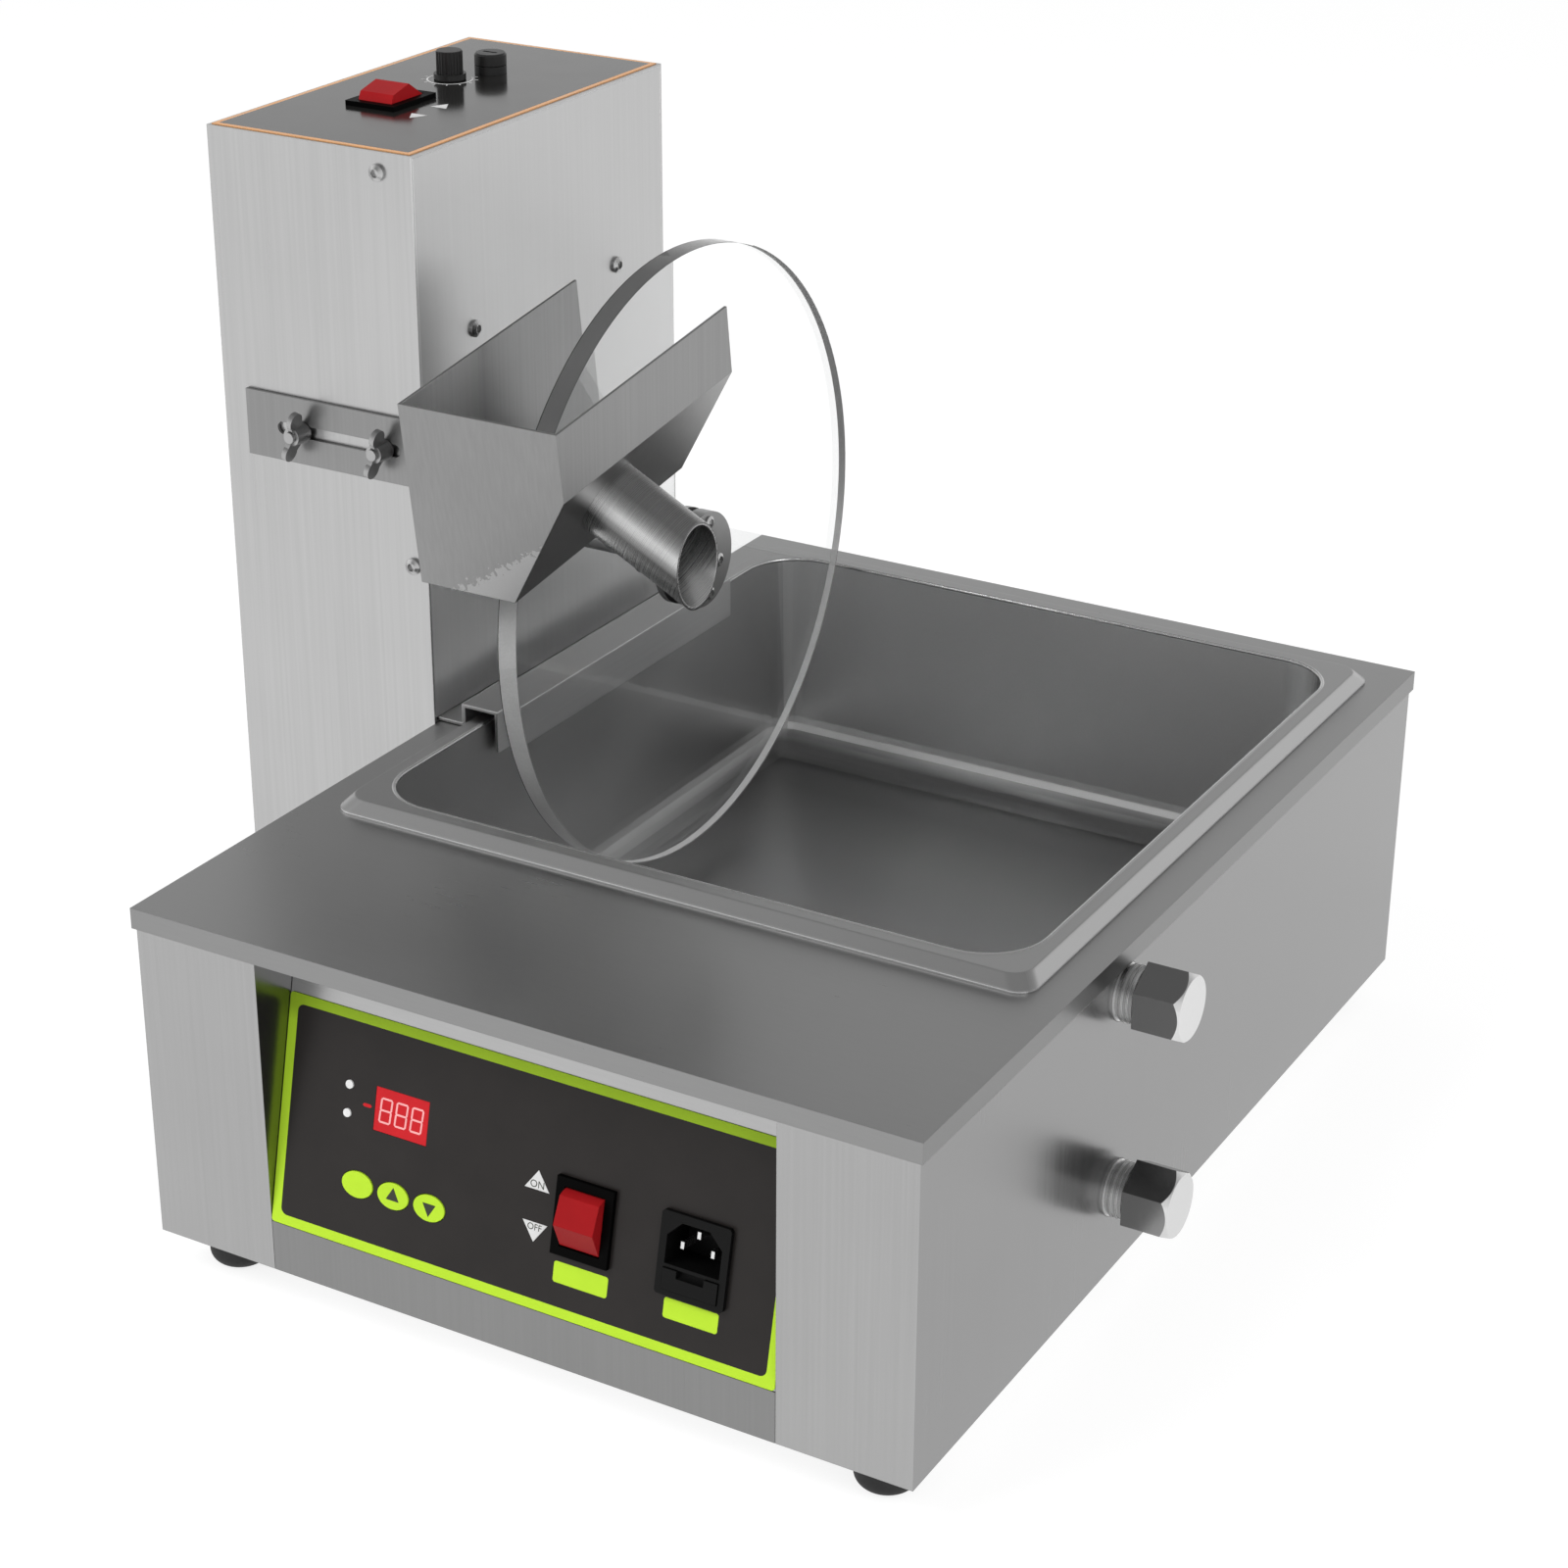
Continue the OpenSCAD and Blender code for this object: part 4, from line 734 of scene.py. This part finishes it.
def arc_band(u, v, inner, outer, start, end, steps=48):
    angles = [math.radians(start + (end - start) * i / steps) for i in range(steps + 1)]
    ring = [(u + outer * math.cos(a), v + outer * math.sin(a)) for a in angles]
    return ring + [(u + inner * math.cos(a), v + inner * math.sin(a)) for a in reversed(angles)]


def segment(u0, v0, u1, v1, stroke):
    """Bar with pointed ends."""
    along = Vector((u1 - u0, v1 - v0)).normalized() * stroke / 2
    side = Vector((-along.y, along.x))
    start, end = Vector((u0, v0)), Vector((u1, v1))
    points = [start, start + along - side, end - along - side, end, end - along + side, start + along + side]
    return [(p.x, p.y) for p in points]


# Switch arrows and words: steps across and up from the switch, then the height
SWITCH = "panel_switch_frame"
SWITCH_ARROWS, ARROW_W = [(-22.55, 7.35, 8.0), (-21.95, -11.15, -8.0)], 11.4
SWITCH_WORDS = {"word_on": ("ON", -22.55, 6.75, 4.2), "word_off": ("OFF", -21.95, -10.55, 3.8)}
WORD_LIFT = 0.02

# Label plates: steps across and up from the solid above each one, then its width and height
LABEL_PLATES = {SWITCH: (0.75, -25.2, 24.6, 8.7), "power_inlet": (0.66, -23.07, 24.0, 8.3)}
PLATE_CORNER = 1.2

# Display: sizes of a digit, and the dash's ends as steps across from the middle
DIGIT_W, DIGIT_H, DIGIT_PITCH, DIGIT_STROKE, DIGIT_LEAN = 5.0, 9.8, 7.4, 0.78, 0.06
DASH_ENDS, DASH_STROKE = (-18.53, -14.13), 1.4

# Button marks: the body and the button that carry each one, and its height
BUTTON_MARKS = {"up_mark": ("up_key", "up_button", 5.4), "down_mark": ("down_key", "down_button", -5.4)}
MARK_W, MARK_DROP, BUTTON_TOP = 6.2, 0.24, FILM + 0.5


def arrows_beside(carrier, node, arrows, width):
    return [triangle(*seat(carrier, node, across, up), width, height) for across, up, height in arrows]


def digit(u, v):
    """Seven bars of one digit, leaning a little to the right."""
    half, mid = DIGIT_W / 2, DIGIT_H / 2
    lines = [(-half, y, half, y) for y in (-mid, 0, mid)]
    lines += [(s * half, y, s * half, y + mid) for s in (-1, 1) for y in (-mid, 0)]
    bars = [segment(*line, DIGIT_STROKE) for line in lines]
    return [[(u + x + DIGIT_LEAN * y, v + y) for x, y in bar] for bar in bars]


def switch_prints():
    arrows = arrows_beside(PANEL, SWITCH, SWITCH_ARROWS, ARROW_W)
    print_marks("switch_arrows", arrows, PANEL, "white_print", "cabinet")
    plates = [rounded_plate(*seat(PANEL, node, across, up), width, height, PLATE_CORNER)
              for node, (across, up, width, height) in LABEL_PLATES.items()]
    print_marks("label_plates", plates, PANEL, "lime_print", "cabinet")


def display_prints():
    places = [seat(PANEL, "display_module", i * DIGIT_PITCH) for i in (-1, 0, 1)]
    digits = [bar for place in places for bar in digit(*place)]
    print_marks("display_digits", digits, PANEL, "pale_digits", "cabinet")
    left, right = (seat(PANEL, "display_module", across) for across in DASH_ENDS)
    dash = segment(*left, *right, DASH_STROKE)
    print_marks("display_dash", [dash], PANEL, "display_red", "cabinet")


def button_marks():
    for name, (body, button, height) in BUTTON_MARKS.items():
        mark = triangle(*seat(PANEL, button, up=-MARK_DROP), MARK_W, height)
        print_marks(name, [mark], PANEL, "dark_print", body, BUTTON_TOP)


def switch_word(name, text, across, up, size):
    """ON or OFF on a switch arrow."""
    curve = bpy.data.curves.new(name, "FONT")
    curve.body = text
    curve.size = size * MM
    curve.align_x, curve.align_y = "CENTER", "CENTER"
    holder = bpy.data.objects.new(name + "_outline", curve)
    bpy.context.scene.collection.objects.link(holder)
    bpy.context.view_layer.update()
    shape = holder.evaluated_get(bpy.context.evaluated_depsgraph_get())
    mesh = bpy.data.meshes.new_from_object(shape)
    bpy.data.objects.remove(holder)
    mesh.materials.clear()
    spot = Vector((*seat(PANEL, SWITCH, across, up), FILM + PRINT + WORD_LIFT))
    place = PANEL @ Matrix.Translation(spot * MM)
    make_piece(name, mesh, place, "dark_print", "cabinet")


# Tower prints: arrows as steps from the switch, and the speed knob's scale with its ends in degrees
TOWER_ARROWS, TOWER_ARROW_W = [(24.5, 3.5, 7.4), (24.5, -15.5, -7.4)], 8.2
KNOB = seat(TOWER_TOP, "speed_knob")
SCALE_R, SCALE_W = 10.6, 0.8
SCALE_START, SCALE_END = -230.0, 50.0
TICK_COUNT, TICK_REACH, TICK_STROKE = 11, (0.6, 2.4), 0.6
KNOB_R, RIB_COUNT, RIB_R, RIB_SIDES = 5.65, 24, 0.35, 8
RIB_LOW, RIB_HIGH = FILM + 2.9, FILM + 12.6


def scale_tick(i):
    turn = math.radians(SCALE_START + (SCALE_END - SCALE_START) * i / (TICK_COUNT - 1))
    outward = Vector((math.cos(turn), math.sin(turn)))
    start, end = (Vector(KNOB) + (SCALE_R + reach) * outward for reach in TICK_REACH)
    return segment(*start, *end, TICK_STROKE)


def tower_prints():
    arrows = arrows_beside(TOWER_TOP, "tower_switch_frame", TOWER_ARROWS, TOWER_ARROW_W)
    print_marks("tower_arrows", arrows, TOWER_TOP, "white_print", "mixer")
    scale = [arc_band(*KNOB, SCALE_R - SCALE_W, SCALE_R, SCALE_START, SCALE_END)]
    scale += [scale_tick(i) for i in range(TICK_COUNT)]
    print_marks("knob_scale", scale, TOWER_TOP, "white_print", "mixer")


def knob_ribs():
    """Grip ribs round the speed knob."""
    ribs = [circle(u, v, RIB_R, RIB_SIDES, 2 * math.pi * i / RIB_COUNT)
            for i, (u, v) in enumerate(circle(*KNOB, KNOB_R, RIB_COUNT))]
    mesh = raised_shapes("knob_ribs", ribs, RIB_LOW, RIB_HIGH)
    make_piece("knob_ribs", mesh, TOWER_TOP, "knob_black", "knob")


PAN_FLANGE, PAN_CORNER = 11.5, 27.0
LIP_R, LIP_SEAT, LIP_SIDES, LIP_STEPS = 1.1, 0.8, 8, 12


def pan_lip():
    """Rolled edge round the pan's opening, in a lighter steel that paints a highlight line along it."""
    width, length, _ = PAN_HIGH - PAN_LOW
    rings = []
    for grow, rise in circle(LIP_SEAT, -LIP_SEAT, LIP_R, LIP_SIDES):
        inset = 2 * (PAN_FLANGE - grow)
        path = rounded_plate(*middle("pan").xy, width - inset, length - inset, PAN_CORNER + grow, LIP_STEPS)
        rings.append([(x, y, PAN_HIGH.z + rise) for x, y in path])
    mesh = bands_between("pan_lip", rings, closed=True)
    make_piece("pan_lip", mesh, Matrix.Identity(4), "lip_steel", "cabinet")


WHEEL_R, RIM_INSET, RIM_STEPS = 141.0, 0.3, 240


def wheel_rim():
    """Sawn edge of the clear wheel, a band round its rim."""
    low, high = corners("wheel_disc")
    path = circle(*WHEEL_AXIS.yz, WHEEL_R - RIM_INSET, RIM_STEPS)
    rings = [[(x, y, z) for y, z in path] for x in (low.x + RIM_INSET, high.x - RIM_INSET)]
    mesh = bands_between("wheel_rim", rings)
    rim = make_piece("wheel_rim", mesh, Matrix.Identity(4), "frosted_rim", "wheel")
    rim.visible_shadow = False


# Studio, in metres

FLOOR_HALF, FLOOR_TONE, FLOOR_ROUGH = 30.0, 0.8, 0.9
FLOOR_GLOW, FLOOR_SHADED = 0.82, 0.3


def floor_white():
    """Pale to light that falls on it, and white with a soft shadow where it is seen."""
    material, tree, shader = new_tree("floor_white")
    shader.inputs["Base Color"].default_value = grey(FLOOR_TONE)
    shader.inputs["Roughness"].default_value = FLOOR_ROUGH
    glow = tree.nodes.new("ShaderNodeEmission")
    glow.inputs["Strength"].default_value = FLOOR_GLOW
    pale = tree.nodes.new("ShaderNodeBsdfDiffuse")
    pale.inputs["Color"].default_value = grey(FLOOR_SHADED)
    seen = tree.nodes.new("ShaderNodeAddShader")
    tree.links.new(glow.outputs[0], seen.inputs[0])
    tree.links.new(pale.outputs[0], seen.inputs[1])
    path = tree.nodes.new("ShaderNodeLightPath").outputs
    shown = calc(tree, "MAXIMUM", path["Is Camera Ray"], path["Is Glossy Ray"])
    shown = calc(tree, "MAXIMUM", shown, path["Is Transmission Ray"])
    choose = tree.nodes.new("ShaderNodeMixShader")
    tree.links.new(shown, choose.inputs["Fac"])
    tree.links.new(shader.outputs[0], choose.inputs[1])
    tree.links.new(seen.outputs[0], choose.inputs[2])
    tree.links.new(choose.outputs[0], tree.nodes["Material Output"].inputs["Surface"])
    return material


def white_floor():
    """Floor that looks like a white background with the object's shadow."""
    mesh = bpy.data.meshes.new("floor")
    sides = [(-1, -1), (1, -1), (1, 1), (-1, 1)]
    mesh.from_pydata([(x * FLOOR_HALF, y * FLOOR_HALF, 0) for x, y in sides], [], [(0, 1, 2, 3)])
    mesh.materials.append(floor_white())
    floor = bpy.data.objects.new("floor", mesh)
    bpy.context.scene.collection.objects.link(floor)


# Sky from the horizon to overhead, and a softbox: the way to it, how its edge fades, its level
SKY = [(0.0, 0.95), (0.22, 0.9), (0.45, 0.55), (0.6, 0.34), (1.0, 0.4)]
SOFTBOX_AIM, SOFTBOX_EDGE, SOFTBOX_LEVEL = (-0.79, -0.49, 0.37), (0.88, 0.97), 0.5


def studio_sky():
    """Soft sky: white at the horizon and greyer overhead, with a softbox that only reflections see."""
    world = bpy.data.worlds.new("studio")
    bpy.context.scene.world = world
    world.use_nodes = True
    tree = world.node_tree
    direction = tree.nodes.new("ShaderNodeTexCoord").outputs["Generated"]
    colours = ramp(tree, split(tree, direction)[2], [(at, grey(level)) for at, level in SKY])
    near_box = remap(tree, along_axis(tree, direction, SOFTBOX_AIM), 0.0, SOFTBOX_LEVEL, *SOFTBOX_EDGE)
    reflected = tree.nodes.new("ShaderNodeLightPath").outputs["Is Glossy Ray"]
    lit = vector_calc(tree, "ADD", colours, calc(tree, "MULTIPLY", near_box, reflected))
    feed(tree, tree.nodes["Background"].inputs["Color"], lit)


# Lamps: place, size and power, all aimed at one point
LAMPS = {"key": ((-1.2, -1.8, 2.4), 1.6, 40), "fill": ((2.2, -0.6, 1.8), 1.8, 25)}
LAMP_AIM = (0.0, 0.0, 0.2)


def soft_lamp(name, place, size, power):
    lamp = bpy.data.lights.new(name, "AREA")
    lamp.shape = "DISK"
    lamp.size = size
    lamp.energy = power
    holder = bpy.data.objects.new(name, lamp)
    bpy.context.scene.collection.objects.link(holder)
    holder.location = place
    direction = Vector(LAMP_AIM) - Vector(place)
    holder.rotation_euler = direction.to_track_quat("-Z", "Y").to_euler()
    holder.visible_glossy = False


# Camera of the photo: place in metres, angles in radians, lens and sensor in millimetres
CAMERA_AT = (0.6770, -1.1426, 0.7758)
CAMERA_AZ, CAMERA_EL, CAMERA_ROLL = math.radians(29.838), math.radians(25.001), 0.00474511
CAMERA_LENS, SENSOR, CLIP_START = 77.44, 36.0, 0.05


def photo_camera():
    back = Vector((math.sin(CAMERA_AZ) * math.cos(CAMERA_EL), -math.cos(CAMERA_AZ) * math.cos(CAMERA_EL),
                   math.sin(CAMERA_EL)))
    level = Vector((math.cos(CAMERA_AZ), math.sin(CAMERA_AZ), 0))
    upright = back.cross(level)
    right = math.cos(CAMERA_ROLL) * level + math.sin(CAMERA_ROLL) * upright
    up = back.cross(right)
    data = bpy.data.cameras.new("photo_camera")
    data.sensor_width = SENSOR
    data.lens = CAMERA_LENS
    data.clip_start = CLIP_START
    camera = bpy.data.objects.new("photo_camera", data)
    bpy.context.scene.collection.objects.link(camera)
    turn = Matrix((right, up, back)).transposed().to_4x4()
    camera.matrix_world = Matrix.Translation(CAMERA_AT) @ turn
    bpy.context.scene.camera = camera


photo_camera()
dress_solids()
switch_prints()
display_prints()
button_marks()
for word, spec in SWITCH_WORDS.items():
    switch_word(word, *spec)
tower_prints()
knob_ribs()
pan_lip()
wheel_rim()
white_floor()
studio_sky()
for lamp_name, spec in LAMPS.items():
    soft_lamp(lamp_name, *spec)
bpy.context.scene.view_settings.view_transform = "Standard"
